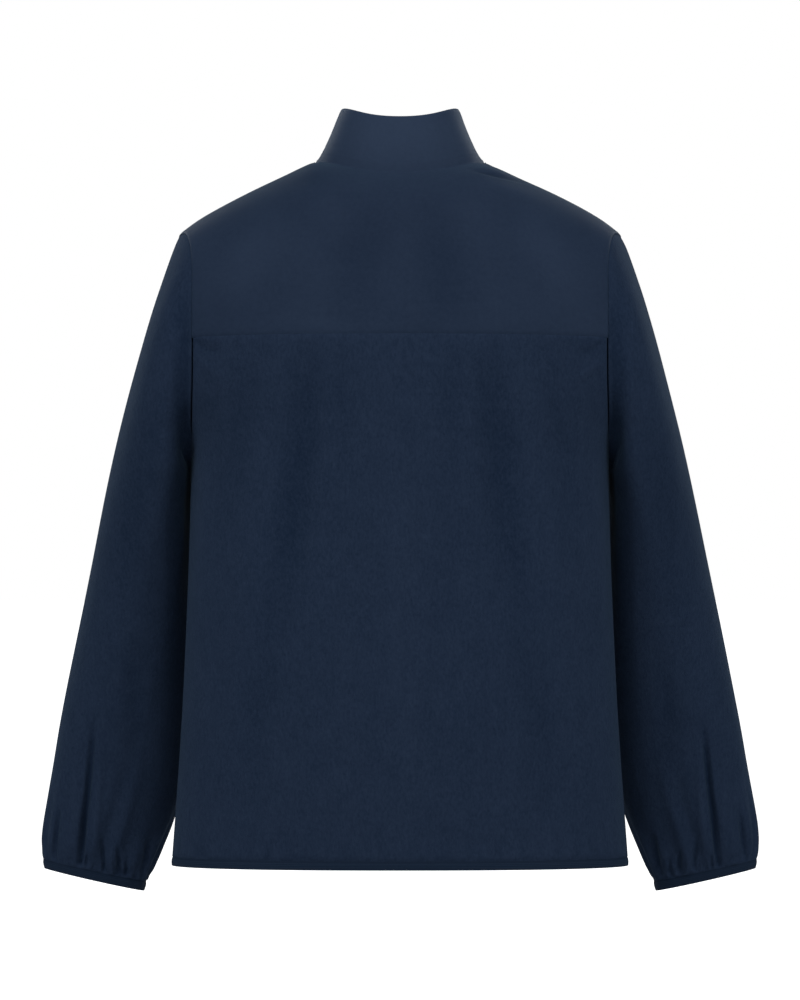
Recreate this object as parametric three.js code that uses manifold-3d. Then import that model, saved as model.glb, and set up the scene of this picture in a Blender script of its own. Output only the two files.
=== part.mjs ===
// A fleece zip jacket, filled out as it is worn, in millimetres.
// X runs to the wearer's left, the front faces -Y and Z is up. The origin is the middle of the neck opening,
// level with the points where the collar leaves the shoulders.
// Each piece of cloth is a net of rows of points on its outer side. Neighbours share the points of their
// seam, every wall is then thickened inwards, and each edge is drawn back by half of the seam gap.
import * as THREE from 'three';
import { mergeVertices } from 'three/addons/utils/BufferGeometryUtils.js';
import Module from 'manifold-3d';

const wasm = await Module();
wasm.setup();

// Driving sizes
const hemLevel = -700; // body length from the neck point of the shoulder
const hemBinding = 9;
const bindingSwell = 0.7;
const underarmLevel = -300;
const yokeLevel = -174; // back yoke seam, at its ends
const yokeArch = 2.8; // how much the seam rises in the middle of the back
const yokeEase = 1.6; // above 1 the yoke's columns turn in to the neck mostly near the top
const shoulderPoint = 222; // half of the shoulder width
const forwardSeam = 22; // the shoulder seam lies this far in front of the ridge at the armhole
const forwardEase = 4; // and this much less at the neck
const ridgeDepth = -4; // Y of the shoulder ridge
const ridgeRoundness = 2.4;
const zipEdge = 5; // from the centre line to the edge of a front
const fleeceWall = 2.4;
const wovenWall = 1.6;
const collarWall = 2.4;
const bindingWall = 2.4;
const tapeWall = 1;
const seamGap = 0.3;
const zipClearance = 0.45; // between the zip's parts and the cloth that they lie on
const bodyClearance = 5; // between a hanging sleeve and the side of the body

// Columns and rows of the nets
const neckColumns = 5; // from the centre line to the neck point
const shoulderColumns = 6; // from the neck point to the armhole
const columns = neckColumns + shoulderColumns;
const lowerRows = 9; // hem to underarm
const armholeRows = 6; // underarm to the level of the yoke seam
const yokeRows = 9;
const upperFrontRows = 9;
const collarRows = 5;
const neckPointShare = 0.6; // the neckline's share from the middle of the back to the yoke's front corner

// Level sections of the body: its reach to each side, to the back and to the front. Above the underarm the
// reach to the side is that of the whole oval, which the armhole cuts off.
const bodySections = [
  { level: hemLevel, side: 229, back: 104, front: 116, roundness: 2.3 },
  { level: -620, side: 223, back: 106, front: 120, roundness: 2.3 },
  { level: -520, side: 216.5, back: 109, front: 124, roundness: 2.3 },
  { level: -420, side: 212, back: 112, front: 127, roundness: 2.3 },
  { level: -340, side: 210, back: 114, front: 129, roundness: 2.3 },
  { level: -300, side: 209.5, back: 115, front: 129, roundness: 2.3 },
  { level: -270, side: 213, back: 116, front: 128, roundness: 2.3 },
  { level: -235, side: 232, back: 117, front: 126, roundness: 2.3 },
  { level: -200, side: 252, back: 118, front: 122, roundness: 2.3 },
  { level: -160, side: 268, back: 118, front: 114, roundness: 2.3 },
];

// The armhole's distance from the centre line
const armholeEdges = [
  { level: -300, back: 209.5, front: 209.5 },
  { level: -270, back: 208, front: 205 },
  { level: -235, back: 206.5, front: 199 },
  { level: -200, back: 205.5, front: 196 },
  { level: -160, back: 205.5, front: 195 },
];

// The armhole edge of the yoke, by the turn from its seam (0) over the ridge (90) to the front
const yokeEdges = [
  { turn: 0, side: 205.5 },
  { turn: 30, side: 205.5 },
  { turn: 55, side: 209 },
  { turn: 75, side: 216 },
  { turn: 90, side: shoulderPoint },
  { turn: 110, side: shoulderPoint },
];

// Height of the shoulder ridge
const ridge = [
  { side: 0, level: 5 },
  { side: 60, level: 6 },
  { side: 80, level: 5 },
  { side: 95, level: 0 },
  { side: 110, level: -8 },
  { side: 145, level: -24 },
  { side: 177, level: -40 },
  { side: 205, level: -56 },
  { side: 216, level: -64 },
  { side: 223, level: -72 },
  { side: 235, level: -84 },
];

// Neckline seen from above, from the middle of the back (0) round the neck point to the zip (1)
const neckline = [
  { around: 0, side: 0, depth: 60 },
  { around: 0.12, side: 27, depth: 57.5 },
  { around: 0.24, side: 51, depth: 48 },
  { around: 0.36, side: 71, depth: 32 },
  { around: 0.48, side: 84, depth: 9 },
  { around: 0.6, side: 87, depth: -22 },
];
const frontNeck = [
  { around: 0, side: 87, depth: -22, drop: 0 },
  { around: 0.2, side: 80, depth: -41, drop: 13 },
  { around: 0.4, side: 66, depth: -58, drop: 31 },
  { around: 0.6, side: 48, depth: -70, drop: 48 },
  { around: 0.8, side: 27, depth: -77.5, drop: 60 },
  { around: 1, side: zipEdge, depth: -80, drop: 66 },
];

// Top edge of the collar, from the middle of the back (0) to the zip (1)
const collarTop = [
  { around: 0, side: 0, depth: 50, level: 46 },
  { around: 0.13, side: 22, depth: 47, level: 47 },
  { around: 0.26, side: 42, depth: 36, level: 52 },
  { around: 0.4, side: 57, depth: 12, level: 57 },
  { around: 0.5, side: 61, depth: -12, level: 55 },
  { around: 0.66, side: 54, depth: -42, level: 42 },
  { around: 0.82, side: 34, depth: -68, level: 20 },
  { around: 1, side: zipEdge, depth: -80, level: 0 },
];
const collarLean = 0.72; // below 1 the collar turns in mostly near its base

// Soft troughs down the back, on both sides of its middle
const backFolds = [
  { top: -176, topSide: 84, bottom: -470, bottomSide: 124, halfWidth: 30, depth: 5 },
  { top: -300, topSide: 44, bottom: -640, bottomSide: 60, halfWidth: 26, depth: 2.5 },
];

// Rings of the hanging sleeve, from the upper arm down to the wrist: the outer and the inner edge as seen
// from behind, how far forward the middle lies, and half of the depth
const sleeveRings = [
  { outer: 294.5, outerLevel: -322, inner: 203, innerLevel: -348, middle: -42, halfDepth: 74 },
  { outer: 311, outerLevel: -395, inner: 199, innerLevel: -423, middle: -66, halfDepth: 66 },
  { outer: 329, outerLevel: -475, inner: 203, innerLevel: -505, middle: -82, halfDepth: 60 },
  { outer: 345, outerLevel: -555, inner: 213, innerLevel: -587, middle: -93, halfDepth: 53 },
  { outer: 351, outerLevel: -595, inner: 219, innerLevel: -627, middle: -97, halfDepth: 49 },
  { outer: 358, outerLevel: -632, inner: 231, innerLevel: -662, middle: -100, halfDepth: 44 },
  { outer: 362.5, outerLevel: -656, inner: 241, innerLevel: -684, middle: -102, halfDepth: 39 },
  { outer: 365, outerLevel: -678, inner: 249.5, innerLevel: -704, middle: -103, halfDepth: 34 },
  { outer: 364.5, outerLevel: -692, inner: 254.5, innerLevel: -715, middle: -104, halfDepth: 29 },
  { outer: 363, outerLevel: -699.5, inner: 257.5, innerLevel: -722, middle: -104, halfDepth: 26 },
];
const finestRings = 6; // this many of the lowest rings have twice the columns
const cuffBottom = {
  outer: 361.5, outerLevel: -709, inner: 260, innerLevel: -732, middle: -105, halfDepth: 24,
};
const capRows = 6; // from the armhole to the first ring

// How the sleeve sets out from the armhole, by the turn round it from the shoulder point
const sleeveStarts = [
  { turn: 0, side: 0.36, depth: 0, level: -0.93, pull: 0.66 },
  { turn: 60, side: 0.66, depth: 0.1, level: -0.74, pull: 0.9 },
  { turn: 100, side: 0.8, depth: 0, level: -0.6, pull: 0.8 },
  { turn: 150, side: 0.85, depth: 0, level: -0.52, pull: 0.9 },
  { turn: 180, side: 0.7, depth: -0.2, level: -0.68, pull: 0.8 },
  { turn: 210, side: 0.7, depth: -0.3, level: -0.64, pull: 0.8 },
  { turn: 260, side: 0.72, depth: -0.25, level: -0.65, pull: 0.8 },
  { turn: 300, side: 0.66, depth: -0.15, level: -0.74, pull: 0.9 },
  { turn: 360, side: 0.36, depth: 0, level: -0.93, pull: 0.66 },
];

// Gathers above each cuff, evenly spaced from its outer edge round the back: how deep and how tall
const gathers = [
  { depth: 3.5, reach: 60 },
  { depth: 4.5, reach: 75 },
  { depth: 3, reach: 45 },
  { depth: 4, reach: 60 },
  { depth: 6.5, reach: 135 },
  { depth: 4, reach: 50 },
  { depth: 4.5, reach: 65 },
  { depth: 5, reach: 95 },
  { depth: 4, reach: 60 },
  { depth: 5, reach: 80 },
  { depth: 3.5, reach: 50 },
  { depth: 4.5, reach: 70 },
  { depth: 6, reach: 110 },
  { depth: 4, reach: 55 },
  { depth: 3.5, reach: 60 },
];

const gatherStart = 14; // a gather is deepest this far above the cuff
const gatherAtCuff = 0.12; // and this share of it is left at the cuff

// Zip
const tapeHalf = { inner: 3.2, edge: 5.8, outer: 14 };
const chain = { halfWidth: 2.9, thickness: 2.4, depth: 1.9 };
const chainStop = 6; // the teeth end this far below the top of the collar
const sliderSize = { halfWidth: 4.3, height: 11, plate: 1.4, web: 2.4, webHeight: 3 };
const bail = { halfWidth: 1.1, length: 7.2, reach: 4.2, bar: 1.3 };
const tab = { halfWidth: 3.6, armInner: 1.6, thickness: 1.5, window: 8.4, length: 34, corner: 1.5 };
const zipBox = { halfWidth: 4.3, height: 8, thickness: 4.4 };

const fleece = new THREE.MeshStandardMaterial({ color: '#1d2a3c', roughness: 0.95 });
const woven = new THREE.MeshStandardMaterial({ color: '#24344a', roughness: 0.7 });
const binding = new THREE.MeshStandardMaterial({ color: '#182334', roughness: 0.65 });
const tape = new THREE.MeshStandardMaterial({ color: '#182334', roughness: 0.8 });
const teeth = new THREE.MeshStandardMaterial({ color: '#141c29', roughness: 0.45 });
const metal = new THREE.MeshStandardMaterial({ color: '#3a4250', roughness: 0.35, metalness: 0.9 });

const lerp = THREE.MathUtils.lerp;
const clamp = THREE.MathUtils.clamp;

// The value of a column between the rows of a table, on a smooth curve that never overshoots
function read(table, key, at, column) {
  const last = table.length - 2;
  let row = 0;
  while (row < last && at > table[row + 1][key]) row += 1;
  const slope = (i) => {
    const k = clamp(i, 0, last);
    return (table[k + 1][column] - table[k][column]) / (table[k + 1][key] - table[k][key]);
  };
  const joint = (i) => {
    const before = slope(i - 1);
    const after = slope(i);
    return before * after <= 0 ? 0 : (2 * before * after) / (before + after);
  };
  const span = table[row + 1][key] - table[row][key];
  const t = clamp((at - table[row][key]) / span, 0, 1);
  const rise = table[row + 1][column] - table[row][column];
  const start = joint(row) * span;
  const end = joint(row + 1) * span;
  const square = (3 * rise - 2 * start - end) * t ** 2;
  const cube = (start + end - 2 * rise) * t ** 3;
  return table[row][column] + start * t + square + cube;
}

// A bump that is 1 at 0 and fades to 0 at 1
function fade(t) {
  const u = clamp(Math.abs(t), 0, 1);
  return (1 - u * u) ** 2;
}

// Y of the body's outer side, in front (-1) or behind (1)
function bodyDepth(level, side, facing) {
  const reach = read(bodySections, 'level', level, facing > 0 ? 'back' : 'front');
  const half = read(bodySections, 'level', level, 'side');
  const power = read(bodySections, 'level', level, 'roundness');
  return facing * reach * (1 - Math.min(Math.abs(side) / half, 1) ** power) ** (1 / power);
}

// A column's place on a level section: share 0 is the middle or the zip edge, 1 the side seam or armhole
function bodyPoint(level, share, facing) {
  const half = read(bodySections, 'level', level, 'side');
  const power = read(bodySections, 'level', level, 'roundness');
  const edge = level > underarmLevel ? read(armholeEdges, 'level', level, facing > 0 ? 'back' : 'front') : half;
  const turn = (side) => Math.asin(Math.min(side / half, 1) ** (power / 2));
  const first = facing > 0 ? 0 : turn(zipEdge);
  const side = half * Math.sin(lerp(first, turn(edge), share)) ** (2 / power);
  return new THREE.Vector3(side, bodyDepth(level, side, facing), level);
}

function foldDepth(side, level) {
  let depth = 0;
  for (const fold of backFolds) {
    const along = (level - fold.top) / (fold.bottom - fold.top);
    if (along < 0 || along > 1) continue;
    const middle = lerp(fold.topSide, fold.bottomSide, along);
    const swell = Math.min(1, Math.sin(Math.PI * along) * 1.3);
    depth += fold.depth * swell * fade((Math.abs(side) - middle) / fold.halfWidth);
  }
  return depth;
}

const mirrored = (point) => new THREE.Vector3(-point.x, point.y, point.z);
const mirrorRows = (rows) => rows.map((row) => row.map(mirrored).reverse());
const levels = (from, to, count) => Array.from({ length: count + 1 }, (_, i) => lerp(from, to, i / count));
const bodyLevels = [
  ...levels(hemLevel + hemBinding, underarmLevel, lowerRows),
  ...levels(underarmLevel, yokeLevel, armholeRows).slice(1),
];

// Left half of the back, from its middle to the side, with the seam of the yoke arched up in the middle
function backHalf() {
  return bodyLevels.map((level) => {
    const height = clamp((level - underarmLevel) / (yokeLevel - underarmLevel), 0, 1);
    const row = [];
    for (let i = 0; i <= columns; i += 1) {
      const share = i / columns;
      const lift = yokeArch * (1 - share * share) * height;
      const point = bodyPoint(level, share, 1);
      point.z += lift;
      point.y -= foldDepth(point.x, point.z);
      row.push(point);
    }
    return row;
  });
}

// Yoke: each column rises from the seam over the ridge to the forward seam, or up to the neckline
function yokeHalf() {
  const foot = backHalf().at(-1);
  const power = ridgeRoundness;
  const turnAt = (start, depth) => {
    const across = (depth - ridgeDepth) / (start.y - ridgeDepth);
    return Math.acos(Math.sign(across) * Math.abs(across) ** (power / 2));
  };
  const neckAt = (i, column) => read(neckline, 'around', (neckPointShare * i) / neckColumns, column);
  const frontEdge = (beyond) => ridgeDepth - forwardSeam + forwardEase * (1 - beyond);
  const rows = [];
  for (let k = 0; k <= yokeRows; k += 1) {
    const row = [];
    for (let i = 0; i <= columns; i += 1) {
      const beyond = Math.max(0, (i - neckColumns) / shoulderColumns);
      const column = Math.min(i, neckColumns);
      const endSide = lerp(neckAt(column, 'side'), shoulderPoint, beyond);
      const endDepth = i <= neckColumns ? neckAt(column, 'depth') : frontEdge(beyond);
      const turn = (turnAt(foot[i], endDepth) * k) / yokeRows;
      const inward = lerp(foot[i].x, endSide, (k / yokeRows) ** yokeEase);
      const reach = read(yokeEdges, 'turn', THREE.MathUtils.radToDeg(turn), 'side');
      const armhole = foot[i].x + reach - yokeEdges[0].side;
      const side = lerp(inward, armhole, beyond ** 2);
      const across = Math.sign(Math.cos(turn)) * Math.abs(Math.cos(turn)) ** (2 / power);
      const up = Math.sin(turn) ** (2 / power);
      const top = read(ridge, 'side', side, 'level');
      const depth = ridgeDepth + across * (foot[i].y - ridgeDepth);
      row.push(new THREE.Vector3(side, depth, foot[i].z + (top - foot[i].z) * up));
    }
    rows.push(row);
  }
  return rows;
}

// Left front: rows of the level sections, then columns that rise to the neckline and the shoulder seam
function frontLeft() {
  const rows = bodyLevels.map((level) =>
    Array.from({ length: columns + 1 }, (_, i) => bodyPoint(level, i / columns, -1)));
  const seam = yokeHalf().at(-1);
  const below = rows.at(-2);
  const foot = rows.at(-1);
  const neckPoint = seam[neckColumns];
  const ends = foot.map((_, i) => {
    if (i >= neckColumns) return seam[i];
    const around = 1 - i / neckColumns;
    const from = (column) => read(frontNeck, 'around', around, column);
    return new THREE.Vector3(from('side'), from('depth'), neckPoint.z - from('drop'));
  });
  for (let k = 1; k <= upperFrontRows; k += 1) {
    const t = k / upperFrontRows;
    rows.push(foot.map((start, i) => {
      const end = ends[i];
      const reach = start.distanceTo(end) / 3;
      const slope = clamp(i / neckColumns, 0, 1);
      const setOut = start.clone().sub(below[i]).setX(0).normalize().multiplyScalar(reach);
      const arrival = new THREE.Vector3(0, lerp(0.5, 0.97, slope), lerp(0.87, 0.26, slope));
      arrival.normalize().multiplyScalar(reach);
      const curve = new THREE.CubicBezierCurve3(start, start.clone().add(setOut), end.clone().sub(arrival), end);
      return k === upperFrontRows ? end.clone() : curve.getPoint(t);
    }));
  }
  return rows;
}

// Whole back or yoke from its left half, running left to right as seen from behind
const whole = (half) => half.map((row) => [...row.slice().reverse(), ...row.slice(1).map(mirrored)]);

// Collar from the left zip edge round the back to the right one
function collarNet(yoke, front) {
  const backNeck = yoke.at(-1).slice(0, neckColumns + 1);
  const sideNeck = front.at(-1).slice(0, neckColumns + 1).reverse();
  const half = [...backNeck, ...sideNeck.slice(1)];
  const rows = [];
  for (let k = 0; k <= collarRows; k += 1) {
    const up = k / collarRows;
    rows.push(half.map((base, i) => {
      const around = i / (half.length - 1);
      const top = (column) => read(collarTop, 'around', around, column);
      const lean = up ** collarLean;
      const side = lerp(base.x, top('side'), lean);
      const depth = lerp(base.y, top('depth'), lean);
      return new THREE.Vector3(side, depth, lerp(base.z, top('level'), up));
    }));
  }
  return whole(rows);
}

// Keeps a sleeve's point clear of the body's side
function clearOfBody(point, clearance) {
  const level = Math.min(point.z, underarmLevel);
  const half = read(bodySections, 'level', level, 'side');
  const reach = read(bodySections, 'level', level, point.y > 0 ? 'back' : 'front');
  const power = read(bodySections, 'level', level, 'roundness');
  const outward = ((point.x / half) ** power + (Math.abs(point.y) / reach) ** power) ** (1 / power);
  const needed = 1 + clearance / Math.hypot(point.x, point.y);
  if (point.z < underarmLevel + 40 && outward < needed) {
    point.x *= needed / outward;
    point.y *= needed / outward;
  }
  return point;
}

// A ring of the sleeve as an oval that starts at its outer edge and goes round the back
function sleeveRing(ring, count) {
  const outer = new THREE.Vector3(ring.outer, ring.middle, ring.outerLevel);
  const inner = new THREE.Vector3(ring.inner, ring.middle, ring.innerLevel);
  const middle = outer.clone().add(inner).multiplyScalar(0.5);
  const half = outer.clone().sub(inner).multiplyScalar(0.5);
  return Array.from({ length: count }, (_, i) => {
    const turn = (2 * Math.PI * i) / count;
    const point = middle.clone().addScaledVector(half, Math.cos(turn));
    point.y += ring.halfDepth * Math.sin(turn);
    return point;
  });
}

// Pulls the gathers into a ring that lies this far above the cuff
function gather(points, height) {
  const middle = points.reduce((sum, p) => sum.add(p), new THREE.Vector3()).multiplyScalar(1 / points.length);
  const perGather = points.length / gathers.length;
  return points.map((point, i) => {
    const fold = gathers[Math.floor(i / perGather) % gathers.length];
    const wave = Math.cos((2 * Math.PI * i) / perGather);
    const rise = clamp(height / gatherStart, gatherAtCuff, 1);
    const left = fade(clamp((height - gatherStart) / fold.reach, 0, 1));
    const inward = (fold.depth / 2) * wave * rise * left;
    return point.clone().addScaledVector(middle.clone().sub(point).normalize(), inward);
  });
}

// Left sleeve, from the cuff up to the armhole, round from the outer edge by way of the back
function sleeveLeft(back, yoke, front) {
  const last = columns;
  const loop = [
    ...yoke.map((row) => row[last]).reverse(),
    ...back.slice(lowerRows).map((row) => row[last]).reverse().slice(1),
    ...front.slice(lowerRows).map((row) => row[last]).slice(1, -1),
  ];
  const lead = 1; // the shoulder point lies this many columns behind the forward seam
  const armhole = loop.map((_, i) => loop[(i + lead) % loop.length]);
  const count = armhole.length;
  const first = sleeveRing(sleeveRings[0], count);
  const second = sleeveRing(sleeveRings[1], count);
  const cap = [];
  for (let k = 0; k < capRows; k += 1) {
    const t = k / capRows;
    cap.push(armhole.map((start, i) => {
      const turn = (360 * i) / count;
      const way = (column) => read(sleeveStarts, 'turn', turn, column);
      const span = start.distanceTo(first[i]);
      const setOut = new THREE.Vector3(way('side'), way('depth'), way('level')).normalize();
      const arrival = second[i].clone().sub(first[i]).normalize();
      const curve = new THREE.CubicBezierCurve3(
        start,
        start.clone().addScaledVector(setOut, (span * way('pull')) / 3),
        first[i].clone().addScaledVector(arrival, -span / 3),
        first[i],
      );
      return k === 0 ? start.clone() : clearOfBody(curve.getPoint(t), bodyClearance * Math.min(1, 0.4 + t));
    }));
  }
  const lowest = sleeveRings.at(-1).outerLevel;
  const rings = sleeveRings.map((ring, k) => {
    const fine = k >= sleeveRings.length - finestRings;
    const points = sleeveRing(ring, fine ? 2 * count : count).map((point) => clearOfBody(point, bodyClearance));
    return fine ? gather(points, ring.outerLevel - lowest) : points;
  });
  return [...cap, ...rings].reverse();
}

function cuffNet(sleeve) {
  const top = sleeve[0];
  const bottom = gather(sleeveRing(cuffBottom, top.length), 0);
  const middle = top.map((point, i) => point.clone().add(bottom[i]).multiplyScalar(0.5));
  const centre = middle.reduce((sum, p) => sum.add(p), new THREE.Vector3()).multiplyScalar(1 / middle.length);
  const swollen = middle.map((p) => p.clone().addScaledVector(p.clone().sub(centre).normalize(), bindingSwell));
  return [bottom, swollen, top.map((p) => p.clone())];
}

// Hem binding, from the left zip edge round the back to the right one
function hemNet(back, front) {
  const half = [...back[0], ...front[0].slice(0, -1).reverse()];
  const lowered = half.map((_, i) => {
    const share = i < back[0].length ? i / columns : (half.length - 1 - i) / columns;
    return bodyPoint(hemLevel, share, i < back[0].length ? 1 : -1);
  });
  const middle = half.map((p, i) => {
    const point = p.clone().add(lowered[i]).multiplyScalar(0.5);
    const out = new THREE.Vector3(p.x, p.y, 0).normalize();
    return point.addScaledVector(out, bindingSwell);
  });
  return whole([lowered, middle, half.map((p) => p.clone())]);
}

// Triangles between two rows, where the upper one may have half as many columns
function joinRows(triangles, lower, upper, closed) {
  const step = closed ? 0 : 1;
  const at = (row, i) => row[i % row.length];
  if (lower.length === upper.length) {
    for (let i = 0; i < lower.length - step; i += 1) {
      triangles.push(
        [at(lower, i), at(lower, i + 1), at(upper, i + 1)],
        [at(lower, i), at(upper, i + 1), at(upper, i)],
      );
    }
    return;
  }
  for (let i = 0; i < upper.length; i += 1) {
    triangles.push(
      [at(lower, 2 * i), at(lower, 2 * i + 1), at(upper, i)],
      [at(lower, 2 * i + 1), at(upper, i + 1), at(upper, i)],
      [at(lower, 2 * i + 1), at(lower, 2 * i + 2), at(upper, i + 1)],
    );
  }
}

const placeKey = (p) => [p.x, p.y, p.z].map((v) => Math.round(v * 1000)).join(' ');

// A piece of cloth: its points, its triangles and the way each corner faces
function netOf(name, rows, closed, thickness, material) {
  const points = rows.flat();
  let start = 0;
  const numbered = rows.map((row) => {
    start += row.length;
    return row.map((_, i) => start - row.length + i);
  });
  const triangles = [];
  for (let k = 0; k + 1 < numbered.length; k += 1) {
    joinRows(triangles, numbered[k], numbered[k + 1], closed);
  }
  return { name, points, triangles, thickness, material };
}

// Adds up the way that all faces round a point look, over the seams too
function facingOf(nets) {
  const facing = new Map();
  for (const net of nets) {
    for (const [a, b, c] of net.triangles) {
      const face = new THREE.Triangle(net.points[a], net.points[b], net.points[c]);
      const normal = face.getNormal(new THREE.Vector3());
      for (const corner of [a, b, c]) {
        const key = placeKey(net.points[corner]);
        if (!facing.has(key)) facing.set(key, new THREE.Vector3());
        facing.get(key).add(normal);
      }
    }
  }
  return facing;
}

// Closed wall of a piece: its outer side, an inner side at the cloth's thickness, and rims round its edges
function wallOf(net, facing) {
  const outward = net.points.map((p) => facing.get(placeKey(p)).clone().normalize());
  const sides = new Map();
  for (const corners of net.triangles) {
    corners.forEach((a, i) => sides.set(`${a} ${corners[(i + 1) % 3]}`, [a, corners[(i + 1) % 3]]));
  }
  const edges = [...sides.values()].filter(([a, b]) => !sides.has(`${b} ${a}`));
  const drawBack = net.points.map(() => []);
  for (const [a, b] of edges) {
    const along = net.points[b].clone().sub(net.points[a]).normalize();
    for (const corner of [a, b]) drawBack[corner].push(outward[corner].clone().cross(along).normalize());
  }
  const outer = net.points.map((p, i) => {
    if (!drawBack[i].length) return p.clone();
    const [first, second] = drawBack[i];
    const way = first.clone().add(second).multiplyScalar(seamGap / 2 / (1 + first.dot(second)));
    return p.clone().add(way);
  });
  const inner = outer.map((p, i) => p.clone().addScaledVector(outward[i], -net.thickness));
  const count = outer.length;
  const faces = [...net.triangles, ...net.triangles.map(([a, b, c]) => [a + count, c + count, b + count])];
  for (const [a, b] of edges) {
    // both walls of a seam split their rims along the same diagonal, so that twisted rims match
    const fromFirst = placeKey(net.points[a]) < placeKey(net.points[b]);
    if (fromFirst) faces.push([b, a, b + count], [a, a + count, b + count]);
    else faces.push([b, a, a + count], [b, a + count, b + count]);
  }
  return meshOf(net.name, [...outer, ...inner], faces, net.material);
}

function meshOf(name, points, faces, material) {
  const geometry = new THREE.BufferGeometry();
  geometry.setAttribute('position', new THREE.Float32BufferAttribute(points.flatMap((p) => [p.x, p.y, p.z]), 3));
  geometry.setIndex(faces.flat());
  const mesh = new THREE.Mesh(geometry, material);
  mesh.name = name;
  return mesh;
}

// Points beside the zip, from the hem binding to the top of the collar, on the left front's edge
function zipLine(front, collar) {
  const rows = [...front, ...collar.slice(1)];
  return rows.map(([edge, next]) => ({ edge, across: next.clone().sub(edge).normalize() }));
}

// The zip line moved in from the cloth's outer side by a depth
function inset(line, depth) {
  return line.map(({ edge, across }, k) => {
    const before = line[Math.max(k - 1, 0)].edge;
    const after = line[Math.min(k + 1, line.length - 1)].edge;
    const inward = across.clone().cross(after.clone().sub(before)).setX(0).normalize().negate();
    return { point: edge.clone().addScaledVector(inward, depth), across, inward };
  });
}

function tapeRows(line) {
  const ways = [tapeHalf.inner, tapeHalf.edge, tapeHalf.outer].map((half) => half - zipEdge);
  return inset(line, fleeceWall + zipClearance).map(({ point, across }) =>
    ways.map((way) => point.clone().addScaledVector(across, way)));
}

// Closed teeth as one strip down the middle
function chainMesh(line) {
  const corners = [];
  const path = inset(line, chain.depth);
  for (const { point, inward } of path) {
    const stop = point === path.at(-1).point ? chainStop : 0;
    const middle = new THREE.Vector3(0, point.y, point.z - stop);
    const deep = middle.clone().addScaledVector(inward, chain.thickness).setX(0);
    corners.push([-1, 1].map((s) => middle.clone().setX(s * chain.halfWidth)));
    corners.at(-1).push(...[1, -1].map((s) => deep.clone().setX(s * chain.halfWidth)));
  }
  const points = corners.flat();
  const faces = [];
  for (let k = 0; k + 1 < corners.length; k += 1) {
    for (let i = 0; i < 4; i += 1) {
      const a = 4 * k + i;
      const b = 4 * k + ((i + 1) % 4);
      faces.push([a, b, b + 4], [a, b + 4, a + 4]);
    }
  }
  const top = points.length - 4;
  faces.push([0, 2, 1], [0, 3, 2], [top, top + 1, top + 2], [top, top + 2, top + 3]);
  return meshOf('zip_chain', points, faces, teeth);
}

// A flat plate in the XZ plane from its outline, centred on a depth
function plate(outline, holes, thickness, depth) {
  const shape = new THREE.Shape(outline.map(([x, z]) => new THREE.Vector2(x, z)));
  for (const hole of holes) shape.holes.push(new THREE.Path(hole.map(([x, z]) => new THREE.Vector2(x, z))));
  const geometry = new THREE.ExtrudeGeometry(shape, { depth: thickness, bevelEnabled: false });
  geometry.rotateX(Math.PI / 2);
  geometry.translate(0, depth + thickness / 2, 0);
  return geometry;
}

// A rectangle with cut corners, from its top down
function cutRectangle(half, top, bottom, corner) {
  return [
    [half - corner, top], [half, top - corner], [half, bottom + corner], [half - corner, bottom],
    [corner - half, bottom], [-half, bottom + corner], [-half, top - corner], [corner - half, top],
  ];
}

function named(name, geometry, material) {
  const mesh = new THREE.Mesh(geometry, material);
  mesh.name = name;
  return mesh;
}

// Slider round the top of the teeth: two plates joined by a web, with the bail that holds the tab
function sliderMesh(teethFront, teethTop) {
  const { halfWidth, height, plate: wall, web, webHeight } = sliderSize;
  const front = teethFront - seamGap - wall;
  const behind = teethFront + chain.thickness + seamGap;
  const top = teethTop + seamGap + webHeight;
  const block = (half, y0, y1, z0, z1) =>
    solidOf(new THREE.BoxGeometry(2 * half, y1 - y0, z1 - z0).translate(0, (y0 + y1) / 2, (z0 + z1) / 2));
  const { halfWidth: bar, length, reach, bar: wire } = bail;
  const foot = top - (height - length) / 2;
  const body = block(halfWidth, front, front + wall, top - height, top)
    .add(block(halfWidth, behind, behind + wall, top - height, top))
    .add(block(web, front, behind + wall, teethTop + seamGap, top))
    .add(block(bar, front - reach, front + wall / 2, foot - length, foot))
    .subtract(block(halfWidth, front - reach + wire, front, foot - length + wire, foot - wire));
  const lowest = foot - length + wire;
  const hinge = new THREE.Vector3(0, front - (reach - wire) / 2, lowest + seamGap + tab.thickness * Math.SQRT1_2);
  return { slider: named('zip_slider', geometryOf(body), metal), hinge };
}

// Pull tab, hung on its hinge bar under the bail: a window round the bail's lower foot, then the grip
function tabMesh(hinge) {
  const { halfWidth, armInner, thickness, window, length, corner } = tab;
  const outline = cutRectangle(halfWidth, thickness / 2, thickness / 2 - length, corner);
  const hole = cutRectangle(armInner, -thickness / 2, -thickness / 2 - window, 0.4).reverse();
  const mesh = named('zip_pull_tab', plate(outline, [hole], thickness, 0), metal);
  mesh.position.copy(hinge);
  return mesh;
}

function solidOf(geometry) {
  geometry.deleteAttribute('normal');
  geometry.deleteAttribute('uv');
  const merged = mergeVertices(geometry, 1e-4);
  const vertProperties = new Float32Array(merged.attributes.position.array);
  const triVerts = new Uint32Array(merged.index.array);
  return new wasm.Manifold(new wasm.Mesh({ numProp: 3, vertProperties, triVerts }));
}

function geometryOf(solid) {
  const { vertProperties, triVerts } = solid.getMesh();
  const geometry = new THREE.BufferGeometry();
  geometry.setAttribute('position', new THREE.BufferAttribute(vertProperties, 3));
  geometry.setIndex(new THREE.BufferAttribute(triVerts, 1));
  return geometry;
}

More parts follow.
